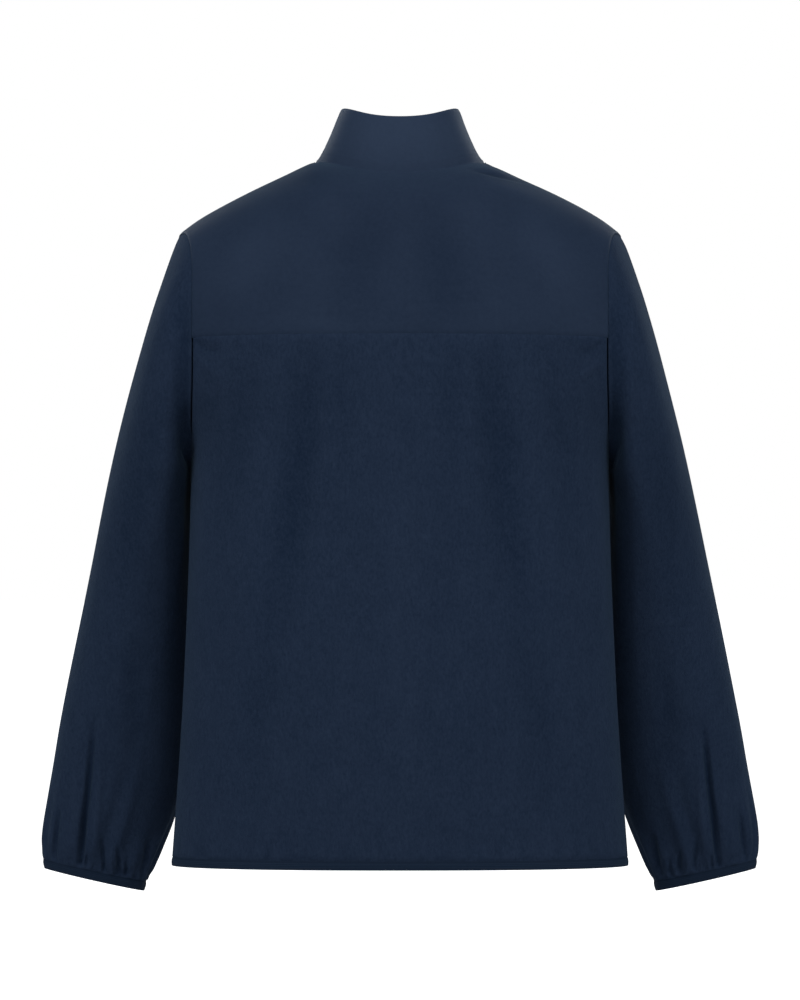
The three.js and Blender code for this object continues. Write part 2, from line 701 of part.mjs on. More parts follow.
// Retainer box at the foot of the teeth
function boxMesh(line) {
  const { point } = inset(line, chain.depth)[0];
  const { halfWidth, height, thickness } = zipBox;
  const mesh = named('zip_box', plate(cutRectangle(halfWidth, 0, -height, 1), [], thickness, 0), metal);
  mesh.position.set(0, point.y + chain.thickness / 2, point.z - zipClearance);
  return mesh;
}

const back = backHalf();
const yoke = yokeHalf();
const front = frontLeft();
const sleeve = sleeveLeft(back, yoke, front);
const collar = collarNet(yoke, front);
const hem = hemNet(back, front);
const cuff = cuffNet(sleeve);
const line = zipLine(front, collar);

const sewn = [
  netOf('back_panel', whole(back), false, fleeceWall, fleece),
  netOf('yoke', whole(yoke), false, wovenWall, woven),
  netOf('collar', collar, false, collarWall, woven),
  netOf('front_left', front, false, fleeceWall, fleece),
  netOf('front_right', mirrorRows(front), false, fleeceWall, fleece),
  netOf('sleeve_left', sleeve, true, fleeceWall, fleece),
  netOf('sleeve_right', mirrorRows(sleeve), true, fleeceWall, fleece),
  netOf('cuff_binding_left', cuff, true, bindingWall, binding),
  netOf('cuff_binding_right', mirrorRows(cuff), true, bindingWall, binding),
  netOf('hem_binding', hem, false, bindingWall, binding),
];
const facing = facingOf(sewn);
const tapeLeft = netOf('zip_tape_left', tapeRows(line), false, tapeWall, tape);
const tapeRight = netOf('zip_tape_right', mirrorRows(tapeRows(line)), false, tapeWall, tape);

const jacket = new THREE.Group();
jacket.name = 'fleece_zip_jacket';
for (const net of sewn) jacket.add(wallOf(net, facing));
for (const net of [tapeLeft, tapeRight]) jacket.add(wallOf(net, facingOf([net])));
jacket.add(chainMesh(line));
const teethEnd = inset(line, chain.depth).at(-1).point;
const { slider, hinge } = sliderMesh(teethEnd.y, teethEnd.z - chainStop);
jacket.add(boxMesh(line), slider, tabMesh(hinge));

export default jacket;
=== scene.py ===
# %% [markdown]
# Fleece zip jacket, seen from behind. A real one is cut from micro-fleece with a smooth woven collar
# and back yoke, sewn together, and bound at the hem and cuffs with narrow elastic. The imported model
# gives the form of every piece, so this file takes each outer cloth face from it, makes it fine
# enough to press creases into, gives it a thickness and then its finish. Cloth simulation could
# drape the pieces instead, but the photograph shows a jacket that is smooth and filled out, so
# creases given one by one come closer to it and are the same on every run.

# %% Load the imported model
import math

import bmesh
import bpy
from mathutils import Matrix, Vector, noise
from mathutils.bvhtree import BVHTree
from mathutils.kdtree import KDTree


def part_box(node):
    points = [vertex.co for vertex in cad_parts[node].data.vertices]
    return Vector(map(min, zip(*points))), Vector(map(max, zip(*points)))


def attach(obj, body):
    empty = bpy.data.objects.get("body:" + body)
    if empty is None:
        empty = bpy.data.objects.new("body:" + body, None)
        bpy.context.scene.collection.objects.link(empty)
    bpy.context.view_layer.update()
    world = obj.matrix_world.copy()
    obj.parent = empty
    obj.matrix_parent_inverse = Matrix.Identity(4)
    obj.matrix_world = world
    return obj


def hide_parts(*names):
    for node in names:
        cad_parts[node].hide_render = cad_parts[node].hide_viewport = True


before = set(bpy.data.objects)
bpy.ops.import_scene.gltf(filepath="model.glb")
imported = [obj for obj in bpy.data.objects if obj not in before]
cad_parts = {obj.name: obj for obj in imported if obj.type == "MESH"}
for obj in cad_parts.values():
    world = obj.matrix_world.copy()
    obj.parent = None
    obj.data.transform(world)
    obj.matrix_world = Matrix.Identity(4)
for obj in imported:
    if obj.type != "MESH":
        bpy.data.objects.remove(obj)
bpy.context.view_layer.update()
MM = 0.001
print("nodes", sorted(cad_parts))

# %% [markdown]
# The photograph is taken square on to the back from some way off. An orthographic camera would be
# flatter still, but it would lose the slight narrowing of the far edges. A long lens far away gives
# the same perspective as the photograph, and its height is the level of the picture's middle.

# %% Camera
CAMERA_DISTANCE = 6.5
VIEW_LEVEL = -0.335
FRAME_HEIGHT = 1.0
SENSOR = 36.0
BACK_TO_FRONT = math.pi

lens = bpy.data.cameras.new("back_view")
lens.sensor_fit = "AUTO"
lens.sensor_width = SENSOR
lens.lens = SENSOR * CAMERA_DISTANCE / FRAME_HEIGHT
camera = bpy.data.objects.new("back_view", lens)
camera.location = (0, CAMERA_DISTANCE, VIEW_LEVEL)
camera.rotation_euler = (math.pi / 2, 0, BACK_TO_FRONT)
bpy.context.collection.objects.link(camera)
bpy.context.scene.camera = camera

# %% [markdown]
# Plain studio light: a pale surround fills every side, a broad soft lamp stands over the camera, and
# a tall soft lamp on each side lights the outer edges of the body and sleeves. The lamps on the far
# side are weaker, so the front reads as well when the camera moves round. The surround looks white
# to the camera but lights the cloth only a little, so that the folds keep their shade.

# %% Surround and lamps
SURROUND = (1, 1, 1, 1)
SEEN_STRENGTH = 1.0
LIGHTING_STRENGTH = 0.34

world = bpy.data.worlds.new("studio")
world.use_nodes = True
sky = world.node_tree
surround = sky.nodes["Background"]
surround.inputs["Color"].default_value = SURROUND
path = sky.nodes.new("ShaderNodeLightPath")
strength = sky.nodes.new("ShaderNodeMapRange")
strength.inputs["To Min"].default_value = LIGHTING_STRENGTH
strength.inputs["To Max"].default_value = SEEN_STRENGTH
sky.links.new(path.outputs["Is Camera Ray"], strength.inputs["Value"])
sky.links.new(strength.outputs["Result"], surround.inputs["Strength"])
bpy.context.scene.world = world
bpy.context.scene.view_settings.view_transform = "Standard"


def soft_lamp(name, place, aim, width, height, power):
    """A rectangular soft box at place that points at aim."""
    data = bpy.data.lights.new(name, "AREA")
    data.shape = "RECTANGLE"
    data.size = width
    data.size_y = height
    data.energy = power
    lamp = bpy.data.objects.new(name, data)
    lamp.location = place
    direction = Vector(aim) - Vector(place)
    lamp.rotation_euler = direction.to_track_quat("-Z", "Y").to_euler()
    bpy.context.collection.objects.link(lamp)


CHEST = (0, 0, -0.3)
soft_lamp("over_camera", (0, 2.0, 2.1), CHEST, 1.5, 0.9, 62)
for side, name in ((1, "left"), (-1, "right")):
    soft_lamp("rear_" + name, (side * 2.5, 1.8, 0.4), CHEST, 0.8, 1.8, 46)
    soft_lamp("front_" + name, (side * 1.6, -2.2, 1.0), CHEST, 1.0, 1.4, 44)

# %% [markdown]
# The floor is a plain pale sheet below the cuffs, since a worn jacket hangs from the shoulders. It
# glows a little to the camera alone, so that it reads as pale as the surround.

# %% Floor
FLOOR_DROP = 0.17
FLOOR_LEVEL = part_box("cuff_binding_left")[0][2] - FLOOR_DROP
FLOOR_HALF = 30
FLOOR_SHADE = (0.55, 0.55, 0.55, 1)
FLOOR_ROUGHNESS = 0.9
FLOOR_GLOW = 1.0


def made_object(name, net, material):
    """A net as an object at the origin, with one material."""
    mesh = bpy.data.meshes.new(name)
    net.to_mesh(mesh)
    net.free()
    mesh.materials.append(material)
    made = bpy.data.objects.new(name, mesh)
    bpy.context.collection.objects.link(made)
    return made


floor_paint = bpy.data.materials.new("pale_floor")
floor_paint.use_nodes = True
paint_tree = floor_paint.node_tree
floor_shader = paint_tree.nodes["Principled BSDF"]
floor_shader.inputs["Base Color"].default_value = FLOOR_SHADE
floor_shader.inputs["Roughness"].default_value = FLOOR_ROUGHNESS
floor_shader.inputs["Specular IOR Level"].default_value = 0
floor_shader.inputs["Emission Color"].default_value = SURROUND
seen = paint_tree.nodes.new("ShaderNodeLightPath")
glow = paint_tree.nodes.new("ShaderNodeMath")
glow.operation = "MULTIPLY"
glow.inputs[1].default_value = FLOOR_GLOW
paint_tree.links.new(seen.outputs["Is Camera Ray"], glow.inputs[0])
paint_tree.links.new(glow.outputs[0], floor_shader.inputs["Emission Strength"])

floor_net = bmesh.new()
bmesh.ops.create_grid(floor_net, x_segments=1, y_segments=1, size=FLOOR_HALF)
bmesh.ops.translate(floor_net, verts=floor_net.verts, vec=(0, 0, FLOOR_LEVEL))
made_object("floor", floor_net, floor_paint)
print("floor at", round(FLOOR_LEVEL, 3))

# %% [markdown]
# Several finishes share the same effects, so each effect is a shader node group: a mottled nap for
# the brushed fleece, crossing threads for the woven cloth, and ribs for the elastic. Image textures
# would need files of their own, while noise and waves are exact at any size. Each group gives a
# colour and a height, and the material decides how strong they are.

# %% Node group helpers


def new_group(name, inputs, outputs):
    """An empty node group with the named sockets, and its input and output nodes."""
    group = bpy.data.node_groups.new(name, "ShaderNodeTree")
    for socket, kind, value in inputs:
        made = group.interface.new_socket(socket, in_out="INPUT", socket_type="NodeSocket" + kind)
        made.default_value = value
    for socket, kind in outputs:
        group.interface.new_socket(socket, in_out="OUTPUT", socket_type="NodeSocket" + kind)
    start = group.nodes.new("NodeGroupInput")
    end = group.nodes.new("NodeGroupOutput")
    return group, start, end


def sum_of(group, first, second, operation="ADD"):
    """One Math node on two sockets or numbers, and its result."""
    node = group.nodes.new("ShaderNodeMath")
    node.operation = operation
    for slot, value in enumerate((first, second)):
        if isinstance(value, (int, float)):
            node.inputs[slot].default_value = value
        else:
            group.links.new(value, node.inputs[slot])
    return node.outputs[0]


def noise_at(group, place, scale, detail, roughness=0.6):
    """A Noise Texture on a vector socket, and its factor."""
    node = group.nodes.new("ShaderNodeTexNoise")
    node.inputs["Detail"].default_value = detail
    node.inputs["Roughness"].default_value = roughness
    if isinstance(scale, (int, float)):
        node.inputs["Scale"].default_value = scale
    else:
        group.links.new(scale, node.inputs["Scale"])
    group.links.new(place, node.inputs["Vector"])
    return node.outputs["Fac"]


def between(group, factor, low, high):
    """A colour mixed from low to high by a factor. A colour Mix has its sockets at 0, 6 and 7."""
    node = group.nodes.new("ShaderNodeMix")
    node.data_type = "RGBA"
    group.links.new(factor, node.inputs[0])
    group.links.new(low, node.inputs[6])
    group.links.new(high, node.inputs[7])
    return node.outputs[2]


def spread(group, value, low, high):
    """A value stretched so that low becomes 0 and high becomes 1, and beyond."""
    node = group.nodes.new("ShaderNodeMapRange")
    node.clamp = False
    node.inputs["From Min"].default_value = low
    node.inputs["From Max"].default_value = high
    group.links.new(value, node.inputs["Value"])
    return node.outputs["Result"]


# %% Shares and painted shade of folds


def weighted(group, *parts):
    """The sum of several sockets, each times its own share."""
    total = None
    for value, share in parts:
        scaled = sum_of(group, value, share, "MULTIPLY")
        total = scaled if total is None else sum_of(group, total, scaled)
    return total


def painted_fold_shade(group, tone, share):
    """Painted shade: takes the fold layer from a tone, so that a trough is painted darker and a ridge
    lighter.
    """
    fold = group.nodes.new("ShaderNodeAttribute")
    fold.attribute_name = "fold"
    return sum_of(group, tone, weighted(group, (fold.outputs["Fac"], share)), "SUBTRACT")


# %% [markdown]
# Micro-fleece is knitted and then brushed, so its face is a short pile of tufts with no thread to be
# seen. Hair particles could make each fibre, but at arm's length only the mottle shows. Three sizes
# of noise give it, drawn out a little down the cloth, as the brush leaves it. The fold layer paints
# shade into the colour: a trough is painted darker and a ridge lighter.

# %% Nap of the fleece
PLAIN_DARK = (0.01, 0.02, 0.04, 1)
PLAIN_LIGHT = (0.02, 0.03, 0.05, 1)
PATCHES_PER_METRE = 90.0
CLOUDS_PER_METRE = 14.0
FIBRES_PER_METRE = 1900.0
TUFT_SHARE, PATCH_SHARE, CLOUD_SHARE = 0.7, 0.2, 0.1
NAP_PAINTED_SHADE_SHARE = 0.16
NAP_TONES = (0.27, 0.73)
FIBRE_HEIGHT = 0.5
NAP_ROUGHNESS = 0.86
NAP_ROUGHNESS_SHARE = 0.1

nap, nap_in, nap_out = new_group(
    "brushed_nap",
    (
        ("Dark", "Color", PLAIN_DARK),
        ("Light", "Color", PLAIN_LIGHT),
        ("Tufts per metre", "Float", 420.0),
        ("Streak stretch", "Float", 0.55),
    ),
    (("Color", "Color"), ("Height", "Float"), ("Roughness", "Float")),
)
place = nap.nodes.new("ShaderNodeTexCoord").outputs["Object"]
stretch = nap.nodes.new("ShaderNodeCombineXYZ")
stretch.inputs[0].default_value = 1
stretch.inputs[1].default_value = 1
nap.links.new(nap_in.outputs["Streak stretch"], stretch.inputs[2])
streaked = nap.nodes.new("ShaderNodeVectorMath")
streaked.operation = "MULTIPLY"
nap.links.new(place, streaked.inputs[0])
nap.links.new(stretch.outputs[0], streaked.inputs[1])
tufts = noise_at(nap, streaked.outputs[0], nap_in.outputs["Tufts per metre"], 4.0, 0.7)
patches = noise_at(nap, streaked.outputs[0], PATCHES_PER_METRE, 3.0)
clouds = noise_at(nap, place, CLOUDS_PER_METRE, 2.0)
fibres = noise_at(nap, place, FIBRES_PER_METRE, 2.0)
mottle = weighted(nap, (tufts, TUFT_SHARE), (patches, PATCH_SHARE), (clouds, CLOUD_SHARE))
mottle = spread(nap, painted_fold_shade(nap, mottle, NAP_PAINTED_SHADE_SHARE), *NAP_TONES)
nap_color = between(nap, mottle, nap_in.outputs["Dark"], nap_in.outputs["Light"])
nap.links.new(nap_color, nap_out.inputs["Color"])
pile = sum_of(nap, tufts, weighted(nap, (fibres, FIBRE_HEIGHT)))
nap.links.new(pile, nap_out.inputs["Height"])
dullness = sum_of(nap, weighted(nap, (patches, NAP_ROUGHNESS_SHARE)), NAP_ROUGHNESS)
nap.links.new(dullness, nap_out.inputs["Roughness"])
print("nap nodes", len(nap.nodes))

# %% [markdown]
# The yoke and collar are a close, smooth weave. Two Wave Textures at right angles make the threads,
# and they follow the UV map, so that the weave lies straight on each piece. The fold layer paints the
# collar lighter than the yoke, as painted light, and a crease darker, as painted shade.

# %% Threads of the woven cloth
WAVE_REPEAT = math.pi / 10
THREAD_WAVER = 0.6
SLUBS_PER_METRE = 260.0
SHADES_PER_METRE = 9.0
CROSSING_SHARE, SLUB_SHARE, SHADE_SHARE = 0.25, 0.4, 0.35
WOVEN_PAINTED_SHADE_AND_LIGHT_SHARE = 0.45
WOVEN_TONES = (0.3, 0.8)
WOVEN_ROUGHNESS = 0.5
WOVEN_ROUGHNESS_SHARE = 0.16


def waves_along(group, direction, per_metre, waver):
    """Bands on the cloth's UV map, so many to a metre. A Wave Texture repeats each pi / 10."""
    laid = group.nodes.new("ShaderNodeUVMap")
    laid.uv_map = "cloth"
    wave = group.nodes.new("ShaderNodeTexWave")
    wave.wave_type = "BANDS"
    wave.bands_direction = direction
    wave.inputs["Distortion"].default_value = waver
    group.links.new(laid.outputs["UV"], wave.inputs["Vector"])
    group.links.new(weighted(group, (per_metre, WAVE_REPEAT)), wave.inputs["Scale"])
    return wave


weave, weave_in, weave_out = new_group(
    "crossing_threads",
    (
        ("Dark", "Color", PLAIN_DARK),
        ("Light", "Color", PLAIN_LIGHT),
        ("Threads per metre", "Float", 955.4),
    ),
    (("Color", "Color"), ("Height", "Float"), ("Roughness", "Float")),
)
threads = []
for direction in ("X", "Y"):
    wave = waves_along(weave, direction, weave_in.outputs["Threads per metre"], THREAD_WAVER)
    wave.inputs["Detail"].default_value = 1.0
    threads.append(wave.outputs["Fac"])
crossing = sum_of(weave, threads[0], threads[1], "MAXIMUM")
flat_place = weave.nodes.new("ShaderNodeTexCoord").outputs["Object"]
slubs = noise_at(weave, flat_place, SLUBS_PER_METRE, 3.0)
shading = noise_at(weave, flat_place, SHADES_PER_METRE, 2.0)
tone = weighted(weave, (crossing, CROSSING_SHARE), (slubs, SLUB_SHARE), (shading, SHADE_SHARE))
tone = spread(weave, painted_fold_shade(weave, tone, WOVEN_PAINTED_SHADE_AND_LIGHT_SHARE), *WOVEN_TONES)
weave_color = between(weave, tone, weave_in.outputs["Dark"], weave_in.outputs["Light"])
weave_color.node.clamp_factor = False
weave.links.new(weave_color, weave_out.inputs["Color"])
weave.links.new(crossing, weave_out.inputs["Height"])
smoothness = sum_of(weave, weighted(weave, (slubs, WOVEN_ROUGHNESS_SHARE)), WOVEN_ROUGHNESS)
weave.links.new(smoothness, weave_out.inputs["Roughness"])
print("weave nodes", len(weave.nodes))

# %% [markdown]
# The bindings are narrow elastic with fine ribs along them. One Wave Texture across the band makes
# the ribs, and a little noise stands for the knit. The elastic is drawn in where it is sewn on, and
# that line is painted darker, as painted shade in the groove.

# %% Ribs of the elastic
RIB_WAVER = 0.3
KNITS_PER_METRE = 700.0
RIB_SHARE, KNIT_SHARE = 0.5, 0.5
RIB_PAINTED_SHADE_SHARE = 0.45
RIB_TONES = (0.25, 0.85)

ribs, ribs_in, ribs_out = new_group(
    "elastic_ribs",
    (
        ("Dark", "Color", PLAIN_DARK),
        ("Light", "Color", PLAIN_LIGHT),
        ("Ribs per metre", "Float", 573.2),
    ),
    (("Color", "Color"), ("Height", "Float")),
)
rib = waves_along(ribs, "Y", ribs_in.outputs["Ribs per metre"], RIB_WAVER)
knit_map = ribs.nodes.new("ShaderNodeUVMap")
knit_map.uv_map = "cloth"
knit = noise_at(ribs, knit_map.outputs["UV"], KNITS_PER_METRE, 2.0)
rib_tone = weighted(ribs, (rib.outputs["Fac"], RIB_SHARE), (knit, KNIT_SHARE))
rib_tone = painted_fold_shade(ribs, rib_tone, RIB_PAINTED_SHADE_SHARE)
rib_color = between(
    ribs, spread(ribs, rib_tone, *RIB_TONES), ribs_in.outputs["Dark"], ribs_in.outputs["Light"]
)
ribs.links.new(rib_color, ribs_out.inputs["Color"])
ribs.links.new(rib_tone, ribs_out.inputs["Height"])
print("rib nodes", len(ribs.nodes))

# %% [markdown]
# The cloths themselves. Fleece scatters light in its fibres, so it is rough with a broad sheen. The
# woven cloth is smoother and a little lighter, and the elastic is the darkest. Dark cloth with the
# usual specular level would look grey at its turned edges, so the level is close to nothing.

# %% Finishes of the cloth
SHEEN_ROUGHNESS = 0.45


def finish_of(name, group, values, bump, bump_height, sheen, sheen_tint, specular, roughness=None):
    """A cloth material from one of the groups above, with its relief and sheen."""
    material = bpy.data.materials.new(name)
    material.use_nodes = True
    tree = material.node_tree
    shader = tree.nodes["Principled BSDF"]
    pattern = tree.nodes.new("ShaderNodeGroup")
    pattern.node_tree = group
    for socket, value in values.items():
        pattern.inputs[socket].default_value = value
    tree.links.new(pattern.outputs["Color"], shader.inputs["Base Color"])
    if roughness is None:
        tree.links.new(pattern.outputs["Roughness"], shader.inputs["Roughness"])
    else:
        shader.inputs["Roughness"].default_value = roughness
    relief = tree.nodes.new("ShaderNodeBump")
    relief.inputs["Strength"].default_value = bump
    relief.inputs["Distance"].default_value = bump_height
    tree.links.new(pattern.outputs["Height"], relief.inputs["Height"])
    tree.links.new(relief.outputs["Normal"], shader.inputs["Normal"])
    shader.inputs["Sheen Weight"].default_value = sheen
    shader.inputs["Sheen Roughness"].default_value = SHEEN_ROUGHNESS
    shader.inputs["Sheen Tint"].default_value = sheen_tint
    shader.inputs["Specular IOR Level"].default_value = specular
    return material


# %% Fleece, weave, elastic, tape and thread
fleece = finish_of(
    "fleece",
    nap,
    {"Dark": (0.0055, 0.0108, 0.0234, 1), "Light": (0.0134, 0.0222, 0.0426, 1)},
    bump=0.6,
    bump_height=0.9 * MM,
    sheen=0.035,
    sheen_tint=(0.4, 0.65, 0.85, 1),
    specular=0.012,
)
woven = finish_of(
    "woven",
    weave,
    {"Dark": (0.0076, 0.0134, 0.0272, 1), "Light": (0.0136, 0.0220, 0.0408, 1)},
    bump=0.3,
    bump_height=0.12 * MM,
    sheen=0.03,
    sheen_tint=(0.3, 0.65, 0.9, 1),
    specular=0.008,
)
elastic = finish_of(
    "elastic",
    ribs,
    {"Dark": (0.0040, 0.0088, 0.0190, 1), "Light": (0.0080, 0.0152, 0.0305, 1)},
    bump=0.5,
    bump_height=0.25 * MM,
    sheen=0.02,
    sheen_tint=(0.3, 0.65, 0.9, 1),
    specular=0.03,
    roughness=0.62,
)
tape_cloth = finish_of(
    "zip_tape",
    weave,
    {"Dark": (0.006, 0.0115, 0.024, 1), "Light": (0.01, 0.017, 0.033, 1), "Threads per metre": 764.3},
    bump=0.5,
    bump_height=0.2 * MM,
    sheen=0.03,
    sheen_tint=(0.5, 0.6, 0.8, 1),
    specular=0.1,
)


thread = finish_of(
    "sewing_thread",
    nap,
    {"Dark": (0.01, 0.018, 0.036, 1), "Light": (0.022, 0.034, 0.06, 1), "Tufts per metre": 2500.0},
    bump=0.3,
    bump_height=0.1 * MM,
    sheen=0.05,
    sheen_tint=(0.6, 0.7, 0.85, 1),
    specular=0.2,
)
print("cloth finishes", fleece.name, woven.name, elastic.name, tape_cloth.name, thread.name)

# %% [markdown]
# The zip is moulded plastic teeth and dark enamelled metal. Both are plain to look at, so a fine
# grain in the colour, polish and relief is enough, and no coat is needed over it.

# %% Finishes of the zip
POLISH_SPREAD = 0.1
GRAIN_DETAIL = 4.0
GRAIN_STRENGTH = 0.15
GRAIN_HEIGHT = 0.05 * MM


def hard_finish(name, color, worn, roughness, metallic, grain):
    """Moulded or enamelled material: fine grain in its colour and roughness."""
    material = bpy.data.materials.new(name)
    material.use_nodes = True
    tree = material.node_tree
    shader = tree.nodes["Principled BSDF"]
    where = tree.nodes.new("ShaderNodeTexCoord")
    speckle = tree.nodes.new("ShaderNodeTexNoise")
    speckle.inputs["Scale"].default_value = grain
    speckle.inputs["Detail"].default_value = GRAIN_DETAIL
    tree.links.new(where.outputs["Object"], speckle.inputs["Vector"])
    paint = tree.nodes.new("ShaderNodeMix")
    paint.data_type = "RGBA"
    paint.inputs[6].default_value = color
    paint.inputs[7].default_value = worn
    tree.links.new(speckle.outputs["Fac"], paint.inputs[0])
    tree.links.new(paint.outputs[2], shader.inputs["Base Color"])
    polish = tree.nodes.new("ShaderNodeMapRange")
    polish.inputs["To Min"].default_value = roughness - POLISH_SPREAD
    polish.inputs["To Max"].default_value = roughness + POLISH_SPREAD
    tree.links.new(speckle.outputs["Fac"], polish.inputs["Value"])
    tree.links.new(polish.outputs["Result"], shader.inputs["Roughness"])
    relief = tree.nodes.new("ShaderNodeBump")
    relief.inputs["Strength"].default_value = GRAIN_STRENGTH
    relief.inputs["Distance"].default_value = GRAIN_HEIGHT
    tree.links.new(speckle.outputs["Fac"], relief.inputs["Height"])
    tree.links.new(relief.outputs["Normal"], shader.inputs["Normal"])
    shader.inputs["Metallic"].default_value = metallic
    return material


teeth_plastic = hard_finish(
    "zip_teeth", (0.011, 0.017, 0.032, 1), (0.02, 0.028, 0.045, 1), 0.38, 0.0, 1200.0
)
enamel = hard_finish(
    "zip_metal", (0.012, 0.018, 0.032, 1), (0.03, 0.038, 0.052, 1), 0.32, 0.55, 900.0
)

# %% [markdown]
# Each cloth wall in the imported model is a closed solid. A crease is pressed into cloth, not into a
# wall, so the first step keeps only the outer face: the triangles are merged, grouped where the
# wall turns sharply at its rim, and the group that faces outwards is kept. Its triangles are joined
# into the quads that a Subdivision Surface rounds off well.

# %% Outer face of a cloth wall
RIM_TURN = math.radians(62)
MERGE_DISTANCE = 0.01 * MM
QUAD_TURN = math.radians(50)


def groups_of_faces(net):
    """The faces of a net, in groups that end where the surface turns sharply."""
    left = set(net.faces)
    found = []
    while left:
        group = set()
        reached = [left.pop()]
        while reached:
            face = reached.pop()
            group.add(face)
            for edge in face.edges:
                if len(edge.link_faces) != 2 or edge.calc_face_angle(0) > RIM_TURN:
                    continue
                for other in edge.link_faces:
                    if other in left:
                        left.remove(other)
                        reached.append(other)
        found.append(group)
    return found


def facing_out(group, outward):
    """How far a group of faces looks away from its own middle, or along outward."""
    middle = sum((face.calc_center_median() for face in group), Vector()) / len(group)
    total = 0
    for face in group:
        away = outward or face.calc_center_median() - middle
        total += face.calc_area() * face.normal.dot(away)
    return total


def outer_face(node, outward=None):
    """The outer face of a CAD cloth wall, as a net of quads."""
    net = bmesh.new()
    net.from_mesh(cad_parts[node].data)
    bmesh.ops.remove_doubles(net, verts=net.verts, dist=MERGE_DISTANCE)
    net.normal_update()
    keep = max(groups_of_faces(net), key=lambda group: facing_out(group, outward))
    rest = [face for face in net.faces if face not in keep]
    bmesh.ops.delete(net, geom=rest, context="FACES")
    bmesh.ops.join_triangles(
        net,
        faces=net.faces,
        angle_face_threshold=QUAD_TURN,
        angle_shape_threshold=QUAD_TURN,
    )
    quads = sum(len(face.verts) == 4 for face in net.faces)
    print(node, "outer face", len(net.faces), "faces,", quads, "quads")
    return net


# %% [markdown]
# A Subdivision Surface rounds each face off into many small ones, and it draws its corners in as it
# does so. Where a corner of the cut has to reach its neighbour, a full vertex crease holds it.

# %% Rounded nets
CORNER_TURN = math.radians(40)


def keep_corners(net):
    """Holds each corner of the cut where it is, so that pieces still meet there once rounded."""
    held = net.verts.layers.float.new("crease_vert")
    for vertex in net.verts:
        rim = [edge for edge in vertex.link_edges if edge.is_boundary]
        if len(rim) != 2:
            continue
        runs = [edge.other_vert(vertex).co - vertex.co for edge in rim]
        if math.pi - runs[0].angle(runs[1]) > CORNER_TURN:
            vertex[held] = 1
    return net


def settled(name, net, levels):
    """A net rounded by a Subdivision Surface, as a fine net ready for creases."""
    mesh = bpy.data.meshes.new(name)
    net.to_mesh(mesh)
    net.free()
    rough = bpy.data.objects.new(name, mesh)
    bpy.context.collection.objects.link(rough)
    rounding = rough.modifiers.new("rounding", "SUBSURF")
    rounding.levels = levels
    rounding.render_levels = levels
    rounding.boundary_smooth = "PRESERVE_CORNERS"
    graph = bpy.context.evaluated_depsgraph_get()
    fine = bmesh.new()
    fine.from_object(rough, graph)
    bpy.data.objects.remove(rough)
    bpy.data.meshes.remove(mesh)
    fine.normal_update()
    return fine


# %% [markdown]
# What is done to a piece of cloth depends on how far each point is from its edge, because a seam
# holds the cloth where it is. A vertex layer called fold keeps how deep a point lies in a trough, and
# the finishes paint shade from it into the colour: darker in a trough, lighter on a ridge and on the
# collar.

# %% Edges and folds


def points_tree(points):
    """Points, ready for finding the one that is nearest to a place."""
    tree = KDTree(len(points))
    for index, point in enumerate(points):
        tree.insert(point, index)
    tree.balance()
    return tree


def falloff(distance, width):
    """1 on the line, 0 a width away, smooth between."""
    if distance >= width:
        return 0.0
    return 0.5 + 0.5 * math.cos(math.pi * distance / width)


def edge_reach(net):
    """Each point's distance from the nearest edge of the cloth."""
    tree = points_tree([vertex.co for vertex in net.verts if vertex.is_boundary])
    return {vertex: tree.find(vertex.co)[2] for vertex in net.verts}


def painted_shade_layer(net):
    """The layer that keeps how deep each point lies in a fold, from which the finishes paint shade."""
    layers = net.verts.layers.float
    return layers.get("fold") or layers.new("fold")


def held_by_seam(distance, width):
    """0 on the seam, where sewing holds the cloth, and 1 a width away from it."""
    share = min(distance / (width * MM), 1)
    return share * share * (3 - 2 * share)


# %% [markdown]
# Creases are soft troughs and ridges. Each is a line drawn on the cloth in millimetres, X to the
# wearer's left and Z up, with a width and a depth. Points near the line move along their own
# normals, most at its middle and not at all at its ends, so the crease runs out into flat cloth.

# %% Creases
CREASE_HOLD = 5
SIDE_ON = 0.05
TURN_FADE = 2.5
END_TAPER = 0.7
FULL_FOLD = 3 * MM


def nearest_on_line(point, line):
    """Distance from a point to a line of points, and how far along it, from 0 to 1."""
    best = (math.inf, 0.0)
    pieces = len(line) - 1
    for index in range(pieces):
        start = line[index]
        run = line[index + 1] - start
        share = min(max((point - start).dot(run) / run.length_squared, 0), 1)
        distance = (point - start - run * share).length
        if distance < best[0]:
            best = (distance, (index + share) / pieces)
    return best


def press(net, facing, creases):
    """Presses creases into the side of a net that faces the back (1) or the front (-1).

    A crease is (points as (x, z) in millimetres, width, depth); a positive depth is a trough.
    """
    mark = painted_shade_layer(net)
    reach = edge_reach(net)
    lines = []
    for points, width, depth in creases:
        line = [Vector((x * MM, z * MM)) for x, z in points]
        lines.append((line, width * MM, depth * MM))
    moves = {}
    for vertex in net.verts:
        turned = vertex.normal.y * facing
        if turned <= SIDE_ON:
            continue
        flat = Vector((vertex.co.x, vertex.co.z))
        total = 0.0
        for line, width, depth in lines:
            distance, share = nearest_on_line(flat, line)
            if distance < width:
                total -= depth * falloff(distance, width) * math.sin(math.pi * share) ** END_TAPER
        if total:
            total *= min(turned * TURN_FADE, 1) * held_by_seam(reach[vertex], CREASE_HOLD)
            moves[vertex] = total
    for vertex, move in moves.items():
        vertex.co += vertex.normal * move
        # Painted shade: each move also goes into the fold layer, so a trough is painted darker and a
        # ridge lighter.
        vertex[mark] -= move / FULL_FOLD
    net.normal_update()


def other_side(creases, spread_out, lift):
    """The wearer's left creases turned over to the right, a little changed in place."""
    return [
        ([(-x * spread_out, z + lift) for x, z in points], width, depth)
        for points, width, depth in creases
    ]


# %% [markdown]
# Hanging cloth is never quite even. Slow noise, longest down the cloth, moves it in and out by a
# millimetre or two. Closer noise near an edge makes the puckers where cloth is eased into its seam.

